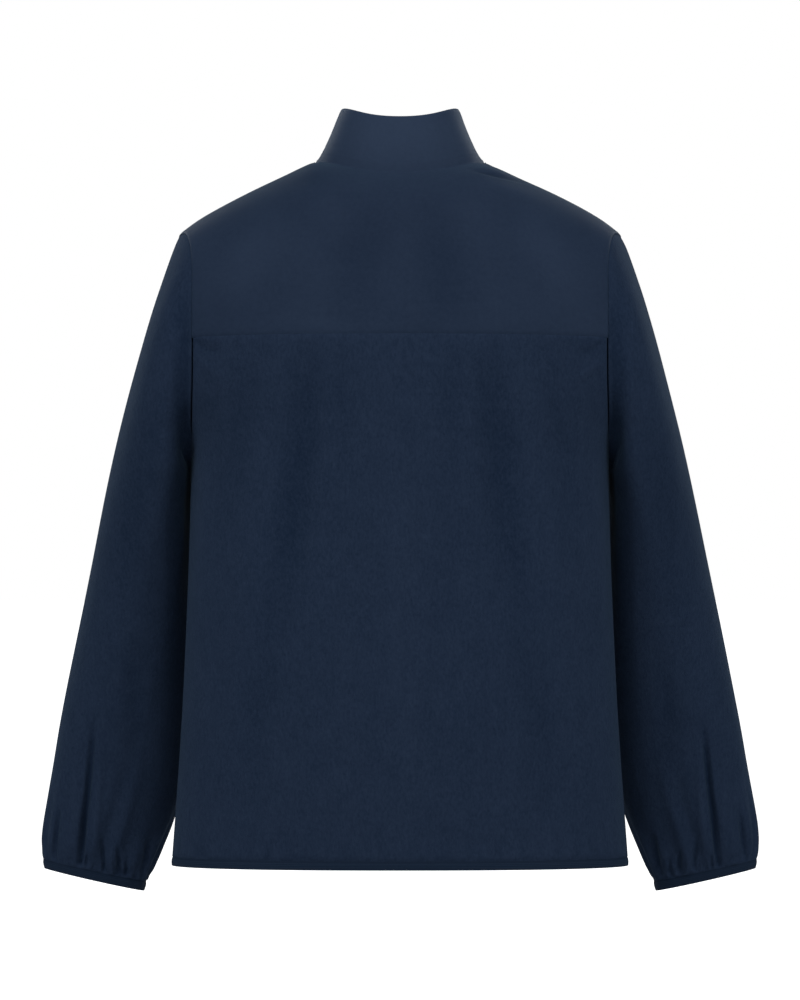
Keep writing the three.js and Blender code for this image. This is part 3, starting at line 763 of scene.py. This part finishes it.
# %% Hang and puckers
HANG_HOLD = 14
HANG_STRETCH = 0.45
SEED_STEPS = (7.3, 3.1, 1.7)
PUCKER_HOLD = 2
PUCKER_STRETCH = 0.12
PUCKER_SHADE = 0.8


def hang(net, size, height, seed):
    """The slow unevenness of hanging cloth: low waves about size wide, longest down the cloth."""
    reach = edge_reach(net)
    offset = Vector([seed * step for step in SEED_STEPS])
    for vertex in net.verts:
        at = vertex.co / (size * MM)
        at.z *= HANG_STRETCH
        wave = noise.noise(at + offset) * held_by_seam(reach[vertex], HANG_HOLD)
        vertex.co += vertex.normal * height * MM * wave
    net.normal_update()


def pucker(net, spacing, height, tall, highest):
    """Small upright puckers below a level, where an edge is eased into its seam or binding."""
    mark = painted_shade_layer(net)
    reach = edge_reach(net)
    for vertex in net.verts:
        if vertex.co.z > highest or reach[vertex] > tall * MM:
            continue
        around = Vector((vertex.co.x, vertex.co.y, vertex.co.z * PUCKER_STRETCH)) / (spacing * MM)
        fade = falloff(reach[vertex], tall * MM) * held_by_seam(reach[vertex], PUCKER_HOLD)
        wave = noise.noise(around) * fade
        vertex.co += vertex.normal * height * MM * wave
        # Painted shade: the hollows of the puckers are painted darker and their crests lighter.
        vertex[mark] -= PUCKER_SHADE * wave
    net.normal_update()


# %% [markdown]
# Two pieces that only meet edge to edge would show a slit of light between them. A tailor leaves a
# seam allowance, so the edges are rolled in a little, and a narrow strip goes on under the
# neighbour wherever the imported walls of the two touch.

# %% Seams
SEAM_REACH = 1.2 * MM
ALLOWANCE = 1.4 * MM
ALLOWANCE_DEPTH = 0.9 * MM


def surface_tree(mesh):
    """A mesh's faces, ready for finding the nearest point on them or for casting a ray."""
    points = [vertex.co.copy() for vertex in mesh.vertices]
    return BVHTree.FromPolygons(points, [tuple(face.vertices) for face in mesh.polygons])


cloth_trees = {
    node: surface_tree(wall.data) for node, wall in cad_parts.items() if not node.startswith("zip_")
}
print("cloth walls", len(cloth_trees))


def roll_seams(net, width, depth):
    """Turns the cloth's edges in towards its seams, where two pieces are sewn together."""
    reach = edge_reach(net)
    for vertex in net.verts:
        vertex.co -= vertex.normal * depth * MM * falloff(reach[vertex], width * MM)
    net.normal_update()


def turn_under(net, *own_nodes):
    """Adds a narrow allowance that goes on under the neighbour, wherever an edge is sewn to one."""
    neighbours = [tree for node, tree in cloth_trees.items() if node not in own_nodes]
    sewn = []
    for edge in net.edges:
        middle = (edge.verts[0].co + edge.verts[1].co) / 2
        near = edge.is_boundary and any(tree.find_nearest(middle, SEAM_REACH)[0] for tree in neighbours)
        if near:
            sewn.append(edge)
    outward = {}
    for edge in sewn:
        face = edge.link_faces[0]
        along = edge.verts[1].co - edge.verts[0].co
        away = along.cross(face.normal).normalized()
        if away.dot(edge.verts[0].co - face.calc_center_median()) < 0:
            away.negate()
        for vertex in edge.verts:
            outward[vertex.index] = outward.get(vertex.index, Vector()) + away
    moves = {index: away.normalized() * ALLOWANCE for index, away in outward.items()}
    normals = {vertex.index: vertex.normal.copy() for vertex in net.verts if vertex.index in moves}
    places = {vertex.index: vertex.co.copy() for vertex in net.verts if vertex.index in moves}
    made = bmesh.ops.extrude_edge_only(net, edges=sewn)["geom"]
    order = list(places)
    tree = points_tree(list(places.values()))
    for vertex in made:
        if isinstance(vertex, bmesh.types.BMVert):
            index = order[tree.find(vertex.co)[1]]
            vertex.co += moves[index] - normals[index] * ALLOWANCE_DEPTH
    net.normal_update()
    print(own_nodes, "sewn edges", len(sewn))


# %% [markdown]
# A finished net gets its UV map, a Solidify modifier for the thickness, its finish, and its place in
# the frame. The map is laid on flat from the front, the side or the top, whichever a face looks at,
# because the weave of a real piece also runs straight across its folds.

# %% Cloth pieces from their nets
FACES_A_QUAD = 4


def lay_pattern(mesh, tilt):
    """Writes the UV map 'cloth' in metres, each face laid flat the way that it looks.

    tilt is how much a band rises for each metre to the left, so that its ribs follow it.
    """
    layer = mesh.uv_layers.new(name="cloth")
    for polygon in mesh.polygons:
        facing = [abs(value) for value in polygon.normal]
        for index in polygon.loop_indices:
            x, y, z = mesh.vertices[mesh.loops[index].vertex_index].co
            if facing[2] > max(facing[0], facing[1]):
                place = (x, y)
            elif facing[0] > facing[1]:
                place = (y, z - tilt * x)
            else:
                place = (x, z - tilt * x)
            layer.data[index].uv = place


def cloth_piece(name, net, nodes, material, wall, tilt=0.0):
    """A finished piece of cloth: its net with a thickness, a finish and its place in the frame."""
    cut = sum(face.calc_area() for face in net.faces)
    piece = made_object(name, net, material)
    lay_pattern(piece.data, tilt)
    piece.data.shade_smooth()
    thickness = piece.modifiers.new("thickness", "SOLIDIFY")
    thickness.thickness = wall * MM
    thickness.offset = -1
    thickness.use_quality_normals = True
    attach(piece, "jacket")
    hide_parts(*nodes)
    triangles = FACES_A_QUAD * len(piece.data.polygons)
    print(name, "area", round(cut, 4), "m2,", triangles, "triangles")
    return piece


# %% [markdown]
# The back panel hangs from the yoke seam to the hem. The photograph shows two soft bands that start
# under the yoke on each side of the middle and drift outwards, a lighter middle, and small puckers
# at the armhole seams. The cloth is pressed to the same places, a little unevenly.

# %% Back panel
FLEECE_WALL = 2.4
HEM_REACH = 30 * MM
# Painted shade and light: each crease's depth also goes into the fold layer, so the two soft bands are
# painted darker and the ridge down the middle lighter.
BACK_CREASES = (
    (((88, -178), (95, -260), (108, -360), (126, -470)), 30, 2.8),
    (((-86, -178), (-94, -255), (-106, -350), (-124, -455)), 30, 2.8),
    (((60, -180), (54, -250), (56, -330)), 20, 1.1),
    (((-52, -180), (-50, -240), (-56, -320)), 20, 1.1),
    (((150, -182), (162, -270), (176, -380)), 24, 1.2),
    (((-146, -182), (-160, -265), (-172, -372)), 24, 1.2),
    (((120, -420), (142, -540), (150, -660)), 30, 1.3),
    (((-118, -430), (-136, -545), (-152, -655)), 30, 1.3),
    (((2, -280), (-3, -420), (2, -640)), 34, -1.1),
    (((206, -176), (192, -186), (176, -190)), 7, 1.0),
    (((205, -192), (190, -204), (172, -214)), 8, -0.9),
    (((-206, -176), (-190, -188), (-172, -192)), 7, 1.0),
    (((-205, -194), (-188, -206), (-170, -218)), 8, -0.9),
    (((204, -230), (196, -330), (205, -460)), 12, -1.0),
    (((-204, -230), (-196, -330), (-205, -460)), 12, -1.0),
)

HEM_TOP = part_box("back_panel")[0][2]
back_net = settled("back", outer_face("back_panel"), 3)
hang(back_net, 95, 1.8, 1)
press(back_net, 1, BACK_CREASES)
pucker(back_net, 9, 0.9, 26, HEM_TOP + HEM_REACH)
roll_seams(back_net, 4, 0.5)
turn_under(back_net, "back_panel")
back = cloth_piece("back_cloth", back_net, ["back_panel"], fleece, FLEECE_WALL)

# %% [markdown]
# The yoke and the collar are the same smooth cloth. The photograph shows no line between them at the
# back, so their two rounded nets are bridged along the neck, and the cloth beside that line is
# relaxed in three bands, each narrower than the last. The collar is folded double, and its fold layer
# paints it lighter than the yoke, as painted light. The one crease beside the neck on the wearer's right
# is kept.

# %% Yoke and collar
WOVEN_WALL = 1.6
YOKE_UNPAINTED = 0
COLLAR_PAINTED_LIGHTER = -1
NECK_GAP = 3.2 * MM
NECK_RELAX = ((20, 14), (14, 20), (9, 24))
NECK_RIM = 0.5
MARK_BAND = 0.045
# Painted shade and light: the two broad troughs beside the middle and the ridges at the sides write to
# the fold layer, which paints the yoke's middle darker and its sides lighter.
YOKE_CREASES = (
    (((-66, -6), (-88, -10.4), (-108, -14.6), (-132, -20)), 3.6, 2.2),
    (((-80, -3), (-98, -8), (-118, -14)), 4, -1.2),
    (((-76, -17), (-104, -25), (-138, -35)), 9, -0.8),
    (((64, -12), (92, -17), (120, -26)), 9, 0.5),
    (((24, -34), (40, -90), (58, -166)), 46, 0.9),
    (((-24, -34), (-40, -90), (-58, -166)), 46, 0.9),
    (((112, -50), (146, -90), (170, -150)), 34, -0.9),
    (((-114, -52), (-150, -94), (-168, -152)), 34, -0.9),
)


# %% Sewing two nets together


def put_together(first, second):
    """Adds the second net to the first, as separate surfaces."""
    spare = bpy.data.meshes.new("spare")
    second.to_mesh(spare)
    second.free()
    first.from_mesh(spare)
    bpy.data.meshes.remove(spare)


def edges_beside(net, mark, own, other, reach):
    """The edges at the rim of the cloth with one mark that run beside the cloth with the other."""
    rim = [vertex for vertex in net.verts if vertex.is_boundary and vertex[mark] == other]
    tree = points_tree([vertex.co for vertex in rim])
    found = []
    for edge in net.edges:
        if not edge.is_boundary or any(vertex[mark] != own for vertex in edge.verts):
            continue
        if max(tree.find(vertex.co)[2] for vertex in edge.verts) < reach:
            found.append(edge)
    return found


def sewn_smooth(net, mark):
    """Bridges the yoke and the collar along the neck, and relaxes the cloth beside that line."""
    pair = edges_beside(net, mark, YOKE_UNPAINTED, COLLAR_PAINTED_LIGHTER, NECK_GAP)
    pair += edges_beside(net, mark, COLLAR_PAINTED_LIGHTER, YOKE_UNPAINTED, NECK_GAP)
    line = {vertex for edge in pair for vertex in edge.verts}
    made = bmesh.ops.bridge_loops(net, edges=pair)["faces"]
    for face in made:
        beside = sum((vertex.normal for vertex in face.verts), Vector())
        if face.normal.dot(beside) < 0:
            face.normal_flip()
    tree = points_tree([vertex.co for vertex in line])
    rim = edge_reach(net)
    reach = {vertex: tree.find(vertex.co)[2] for vertex in net.verts if not vertex.is_boundary}
    for width, rounds in NECK_RELAX:
        band = [
            vertex
            for vertex, distance in reach.items()
            if distance < width * MM and rim[vertex] > width * NECK_RIM * MM
        ]
        for _ in range(rounds):
            bmesh.ops.smooth_vert(
                net, verts=band, factor=0.5, use_axis_x=True, use_axis_y=True, use_axis_z=True
            )
    # Painted light: the collar's lighter mark fades into the yoke's over a band beside the neck.
    for vertex in net.verts:
        above = 1 if vertex[mark] == COLLAR_PAINTED_LIGHTER else -1
        share = 0.5 + 0.5 * above * min(tree.find(vertex.co)[2] / MARK_BAND, 1)
        vertex[mark] = COLLAR_PAINTED_LIGHTER * share * share * (3 - 2 * share)
    net.normal_update()
    print("bridged edges", len(pair), "faces", len(made))


# %% Joined yoke and collar
yoke_net = settled("yoke", keep_corners(outer_face("yoke")), 3)
stand_net = settled("stand", keep_corners(outer_face("collar")), 3)
# The collar's mark paints it lighter than the yoke, as painted light.
for net, layers in ((yoke_net, YOKE_UNPAINTED), (stand_net, COLLAR_PAINTED_LIGHTER)):
    mark = painted_shade_layer(net)
    for vertex in net.verts:
        vertex[mark] = layers
put_together(yoke_net, stand_net)
sewn_smooth(yoke_net, painted_shade_layer(yoke_net))
hang(yoke_net, 90, 1.1, 2)
press(yoke_net, 1, YOKE_CREASES)
roll_seams(yoke_net, 3, 0.4)
turn_under(yoke_net, "yoke", "collar")
shoulders = cloth_piece("yoke_and_collar", yoke_net, ["yoke", "collar"], woven, WOVEN_WALL)

# %% [markdown]
# The fronts aren't in the photograph, so they are plain fleece with a few soft folds where a closed
# jacket has them: down from the chest, in from the armhole and above the hem. The right front has
# the left one's folds turned over, a little narrower and lower.

# %% Fronts
RIGHT_SPREAD = 0.94
RIGHT_LIFT = -12
FRONT_CREASES = (
    (((150, -60), (128, -150), (110, -260), (104, -380)), 30, 3.4),
    (((70, -90), (64, -180), (70, -300)), 22, 1.7),
    (((196, -170), (174, -196), (146, -212)), 14, 2.2),
    (((186, -190), (170, -290), (160, -420)), 24, 2.0),
    (((120, -430), (136, -540), (146, -650)), 28, 2.2),
    (((40, -340), (34, -460), (38, -600)), 22, 1.4),
)

fronts = {}
for side, name in ((1, "left"), (-1, "right")):
    front_net = settled("front_" + name, outer_face("front_" + name), 3)
    hang(front_net, 95, 1.4, 4 + side)
    creases = FRONT_CREASES if side == 1 else other_side(FRONT_CREASES, RIGHT_SPREAD, RIGHT_LIFT)
    press(front_net, -1, creases)
    pucker(front_net, 9, 0.9, 26, HEM_TOP + HEM_REACH)
    roll_seams(front_net, 4, 0.5)
    turn_under(front_net, "front_" + name)
    fronts[name] = cloth_piece(
        "front_cloth_" + name, front_net, ["front_" + name], fleece, FLEECE_WALL
    )

# %% [markdown]
# The sleeves hang beside the body, a little forward. Their lower ends are gathered into the cuff
# bindings, and a long trough runs down from the elbow on the back of each. Narrow strokes draw the
# gathers that the photograph shows, and close noise all round fills in between them. The two
# sleeves differ a little, as in the photograph, so each has its own list.

# %% Sleeves
UNDERARM = (209, -296)
UNDERARM_REACH = 46
UNDERARM_FULLNESS = 4.4


def fill_out(net, x, z, radius, height):
    """Fills the cloth out round one place, given in millimetres."""
    place = Vector((x, z)) * MM
    reach = edge_reach(net)
    for vertex in net.verts:
        away = (Vector((vertex.co.x, vertex.co.z)) - place).length
        share = falloff(away, radius * MM) * held_by_seam(reach[vertex], PUCKER_HOLD)
        vertex.co += vertex.normal * height * MM * share
    net.normal_update()


# %% Creases of the sleeves
# Painted shade: the two long lines near X 214 on each sleeve run down its inner edge beside the body,
# and their fold layer paints that strip darker.
SLEEVE_CREASES_BACK = {
    "left": (
        (((308, -556), (312, -596), (316, -636), (321, -676), (327, -730)), 5.2, 5.0),
        (((318, -652), (321, -682), (324, -716)), 3.5, 1.6),
        (((302, -590), (304, -640), (309, -696)), 6, -1.3),
        (((330, -610), (326, -650), (331, -700)), 7, -1.0),
        (((345, -646), (348, -672), (351, -702)), 4.5, 3.0),
        (((317, -692), (317, -712)), 3.5, 2.2),
        (((301, -676), (299, -716)), 3.5, 3.0),
        (((285, -684), (284, -718)), 3.5, 2.8),
        (((276, -696), (278, -722)), 3.5, 2.2),
        (((254, -676), (257, -698), (263, -718)), 4.5, 3.0),
        (((292, -690), (292, -716)), 3.5, -1.2),
        (((240, -230), (262, -330), (282, -450)), 26, 1.6),
        (((318, -350), (334, -450), (338, -560)), 24, 1.2),
        (((262, -470), (268, -540), (264, -600)), 18, 1.4),
        (((214, -130), (213, -210), (214, -310)), 15, 1.6),
        (((217, -84), (215, -160), (214, -240), (218, -360), (222, -470), (226, -580)), 17, 2.2),
    ),
    "right": (
        (((-306, -560), (-309, -594), (-313, -630), (-318, -668), (-326, -730)), 5.2, 4.8),
        (((-316, -656), (-319, -684), (-322, -716)), 3.5, 1.4),
        (((-301, -596), (-303, -644), (-308, -696)), 6, -1.3),
        (((-329, -616), (-325, -654), (-330, -700)), 7, -1.0),
        (((-344, -650), (-347, -676), (-350, -702)), 4.5, 2.8),
        (((-315, -694), (-315, -712)), 3.5, 2.0),
        (((-299, -680), (-297, -716)), 3.5, 2.8),
        (((-283, -688), (-282, -718)), 3.5, 2.6),
        (((-272, -696), (-274, -722)), 3.5, 2.0),
        (((-256, -672), (-259, -696), (-265, -718)), 4.5, 3.0),
        (((-291, -692), (-290, -716)), 3.5, -1.2),
        (((-238, -235), (-264, -340), (-280, -460)), 26, 1.6),
        (((-320, -360), (-333, -460), (-336, -570)), 24, 1.2),
        (((-264, -480), (-270, -548), (-262, -606)), 18, 1.4),
        (((-214, -130), (-213, -210), (-214, -310)), 15, 1.6),
        (((-217, -84), (-215, -160), (-214, -240), (-218, -360), (-222, -470), (-226, -580)), 17, 2.2),
    ),
}
SLEEVE_LIFT = 6
SLEEVE_CREASES_FRONT = (
    (((236, -220), (258, -310), (270, -400)), 22, 2.6),
    (((230, -330), (262, -368), (300, -410)), 16, 3.0),
    (((238, -384), (268, -422), (304, -462)), 15, 2.6),
    (((226, -250), (250, -280), (280, -306)), 14, 1.8),
    (((300, -560), (312, -640), (316, -700)), 12, 2.4),
    (((330, -600), (338, -660), (338, -700)), 9, 1.6),
)

# %% Both sleeves
CUFF_PUCKERS_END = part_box("sleeve_left")[0][2] + 60 * MM

for side, name in ((1, "left"), (-1, "right")):
    sleeve_net = settled("sleeve_" + name, outer_face("sleeve_" + name), 3)
    hang(sleeve_net, 80, 1.5, 7 + side)
    fill_out(sleeve_net, side * UNDERARM[0], UNDERARM[1], UNDERARM_REACH, UNDERARM_FULLNESS)
    press(sleeve_net, 1, SLEEVE_CREASES_BACK[name])
    creases = SLEEVE_CREASES_FRONT if side == 1 else other_side(SLEEVE_CREASES_FRONT, 1, SLEEVE_LIFT)
    press(sleeve_net, -1, creases)
    pucker(sleeve_net, 5, 1.6, 22, CUFF_PUCKERS_END)
    roll_seams(sleeve_net, 3, 0.4)
    turn_under(sleeve_net, "sleeve_" + name)
    cloth_piece(
        "sleeve_cloth_" + name, sleeve_net, ["sleeve_" + name], fleece, FLEECE_WALL
    )

# %% [markdown]
# The hem and cuffs are bound with narrow elastic, folded over the raw edge. The binding is smoother
# and darker than the fleece, with a fine rib along it and a rounded lower fold. It is drawn in along
# its upper edge, where the stitches hold it, and goes on a little under the fleece.

# %% Bindings
BINDING_WALL = 2.4
DRAWN_WIDTH = 3 * MM
DRAWN_DEPTH = 0.3 * MM
FOLD_ROUNDING = 0.9 * MM
FOLD_TURN = math.radians(50)


def bound_edge(name, node, tilt):
    """An elastic binding on its CAD ring, with rounded folds."""
    net = settled(name, outer_face(node), 3)
    mark = painted_shade_layer(net)
    reach = edge_reach(net)
    middle = sum((vertex.co for vertex in net.verts), Vector()) / len(net.verts)
    for vertex in net.verts:
        rise = vertex.co.z - middle.z - tilt * (vertex.co.x - middle.x)
        drawn = falloff(reach[vertex], DRAWN_WIDTH) if rise > 0 else 0
        # Painted shade: the drawn-in line along the upper edge is marked so that it is painted darker.
        vertex[mark] = drawn
        vertex.co -= vertex.normal * DRAWN_DEPTH * drawn
    turn_under(net, node)
    piece = cloth_piece(name, net, [node], elastic, BINDING_WALL, tilt)
    fold = piece.modifiers.new("fold", "BEVEL")
    fold.width = FOLD_ROUNDING
    fold.segments = 3
    fold.limit_method = "ANGLE"
    fold.angle_limit = FOLD_TURN
    return piece


CUFF_TILT = 0.22
hem_edge = bound_edge("hem_elastic", "hem_binding", 0)
for side, name in ((1, "left"), (-1, "right")):
    bound_edge("cuff_elastic_" + name, "cuff_binding_" + name, side * CUFF_TILT)

# %% [markdown]
# The zip's two woven tapes lie behind the edges of the fronts. Only a few millimetres of them show
# beside the teeth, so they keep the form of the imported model. Their inner edges are carried to the
# middle, a little set back under the teeth, and their lower ends go on down behind the box, as the
# real ones do.

# %% Zip tapes
TAPE_WALL = 1.0
TO_FRONT = Vector((0, -1, 0))
TAPE_INNER = 4.2 * MM
TAPE_MIDDLE = 0.03 * MM
TAPE_SET_BACK = 0.5 * MM
TAPE_FOOT = 8.3 * MM

for name in ("left", "right"):
    tape_net = settled("tape_" + name, outer_face("zip_tape_" + name, TO_FRONT), 1)
    lowest = min(vertex.co.z for vertex in tape_net.verts)
    for vertex in tape_net.verts:
        if abs(vertex.co.x) < TAPE_INNER:
            vertex.co.x = math.copysign(TAPE_MIDDLE, vertex.co.x)
            vertex.co.y += TAPE_SET_BACK
        if vertex.co.z < lowest + MM:
            vertex.co.z -= TAPE_FOOT
            vertex.co.y += TAPE_SET_BACK
    cloth_piece(
        "tape_cloth_" + name, tape_net, ["zip_tape_" + name], tape_cloth, TAPE_WALL
    )

# %% [markdown]
# The zip is closed. Each moulded tooth is clamped on the edge of its tape and its head lies between
# two teeth of the other side. One tooth is modelled and repeated up the line of the solid chain in
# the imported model, turned to the slope of the line at each place.

# %% Teeth
TOOTH_PITCH = 2.9 * MM
TOOTH_LENGTH = 3.3 * MM
TOOTH_HEIGHT = 1.35 * MM
TOOTH_DEPTH = 2.2 * MM
TOOTH_ROUNDING = 0.32 * MM
HEAD_OVERLAP = 0.5 * MM


def tooth_net():
    """One tooth with its head at X 0 and its root towards +X, standing on Y 0."""
    net = bmesh.new()
    bmesh.ops.create_cube(net, size=1)
    bmesh.ops.scale(net, verts=net.verts, vec=(TOOTH_LENGTH, TOOTH_DEPTH, TOOTH_HEIGHT))
    bmesh.ops.translate(net, verts=net.verts, vec=(TOOTH_LENGTH / 2 - HEAD_OVERLAP, TOOTH_DEPTH / 2, 0))
    bmesh.ops.bevel(
        net,
        geom=net.edges[:],
        offset=TOOTH_ROUNDING,
        affect="EDGES",
        segments=1,
        profile=0.5,
        material=-1,
    )
    return net


one_tooth = tooth_net()
tooth_mesh = bpy.data.meshes.new("tooth")
one_tooth.to_mesh(tooth_mesh)
one_tooth.free()
print("faces of a tooth", len(tooth_mesh.polygons))

# %% Teeth up the chain
OFF_MIDDLE = 0.2 * MM
SLOPE_UP = MM
SLOPE_DOWN = 0.5 * MM
CHAIN_END = 0.1 * MM

chain_low, chain_high = (corner[2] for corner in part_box("zip_chain"))
chain_tree = surface_tree(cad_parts["zip_chain"].data)


def chain_front(level):
    """Depth of the chain's front face at a level."""
    hit = chain_tree.ray_cast(Vector((OFF_MIDDLE, -1, level)), -TO_FRONT)
    return hit[0].y


def add_copy(net, mesh, matrix):
    """Adds one more copy of a small mesh to a net, and puts it in its place."""
    before = len(net.verts)
    net.from_mesh(mesh)
    net.verts.ensure_lookup_table()
    bmesh.ops.transform(net, verts=net.verts[before:], matrix=matrix)


chain_net = bmesh.new()
count = int((chain_high - chain_low - TOOTH_HEIGHT) / TOOTH_PITCH * 2)
for index in range(count):
    side = 1 if index % 2 == 0 else -1
    level = chain_low + TOOTH_HEIGHT / 2 + index * TOOTH_PITCH / 2
    slope = chain_front(min(level + SLOPE_UP, chain_high - CHAIN_END)) - chain_front(level - SLOPE_DOWN)
    lean = Matrix.Rotation(-slope / (SLOPE_UP + SLOPE_DOWN), 4, "X")
    turn = Matrix.Scale(side, 4, (1, 0, 0))
    add_copy(chain_net, tooth_mesh, Matrix.Translation((0, chain_front(level), level)) @ lean @ turn)
bmesh.ops.recalc_face_normals(chain_net, faces=chain_net.faces)
teeth = made_object("teeth", chain_net, teeth_plastic)
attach(teeth, "jacket")
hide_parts("zip_chain")
print("teeth", count)

# %% [markdown]
# A row of stitches runs up each side of the zip, through the front and then the collar. One stitch is
# repeated on the cloth, a little over its own length apart.

# %% Stitches beside the zip
STITCH_PITCH = 3.4 * MM
STITCH_SIZE = (0.45 * MM, 0.4 * MM, 2.4 * MM)
STITCH_RISE = 0.05 * MM
STITCH_ROW = 9.5 * MM
STITCH_ROUNDING = 0.12 * MM

stitch_net = bmesh.new()
bmesh.ops.create_cube(stitch_net, size=1)
bmesh.ops.scale(stitch_net, verts=stitch_net.verts, vec=STITCH_SIZE)
bmesh.ops.bevel(stitch_net, geom=stitch_net.edges[:], offset=STITCH_ROUNDING, affect="EDGES", segments=1)
stitch_mesh = bpy.data.meshes.new("stitch")
stitch_net.to_mesh(stitch_mesh)
stitch_net.clear()
print("faces of a stitch", len(stitch_mesh.polygons))

# %% Rows of stitches
collar_tree = surface_tree(shoulders.data)
for side, name in ((1, "left"), (-1, "right")):
    front_tree = surface_tree(fronts[name].data)
    level = HEM_TOP + STITCH_PITCH
    while level < chain_high:
        start = Vector((side * STITCH_ROW, -1, level))
        point, facing, _, _ = front_tree.ray_cast(start, -TO_FRONT)
        if point is None:
            point, facing, _, _ = collar_tree.ray_cast(start, -TO_FRONT)
        if point is not None and point.y < 0:
            turn = TO_FRONT.rotation_difference(facing).to_matrix().to_4x4()
            add_copy(stitch_net, stitch_mesh, Matrix.Translation(point + facing * STITCH_RISE) @ turn)
        level += STITCH_PITCH
stitches = made_object("zip_stitches", stitch_net, thread)
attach(stitches, "jacket")
print("stitch faces", len(stitches.data.polygons))

# %% [markdown]
# The slider, the box and the pull tab are small pieces of die-cast metal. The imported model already
# has their right shapes, so they stay, with welded edges that a Bevel modifier can round.

# %% Slider, box and pull tab
EDGE_ROUNDING = 0.2 * MM
EDGE_TURN = math.radians(35)

for node in ("zip_slider", "zip_box", "zip_pull_tab"):
    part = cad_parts[node]
    part.data.materials.clear()
    part.data.materials.append(enamel)
    weld = part.modifiers.new("weld", "WELD")
    weld.merge_threshold = MERGE_DISTANCE
    edges = part.modifiers.new("edges", "BEVEL")
    edges.width = EDGE_ROUNDING
    edges.segments = 2
    edges.limit_method = "ANGLE"
    edges.angle_limit = EDGE_TURN
    print(node, "enamelled")
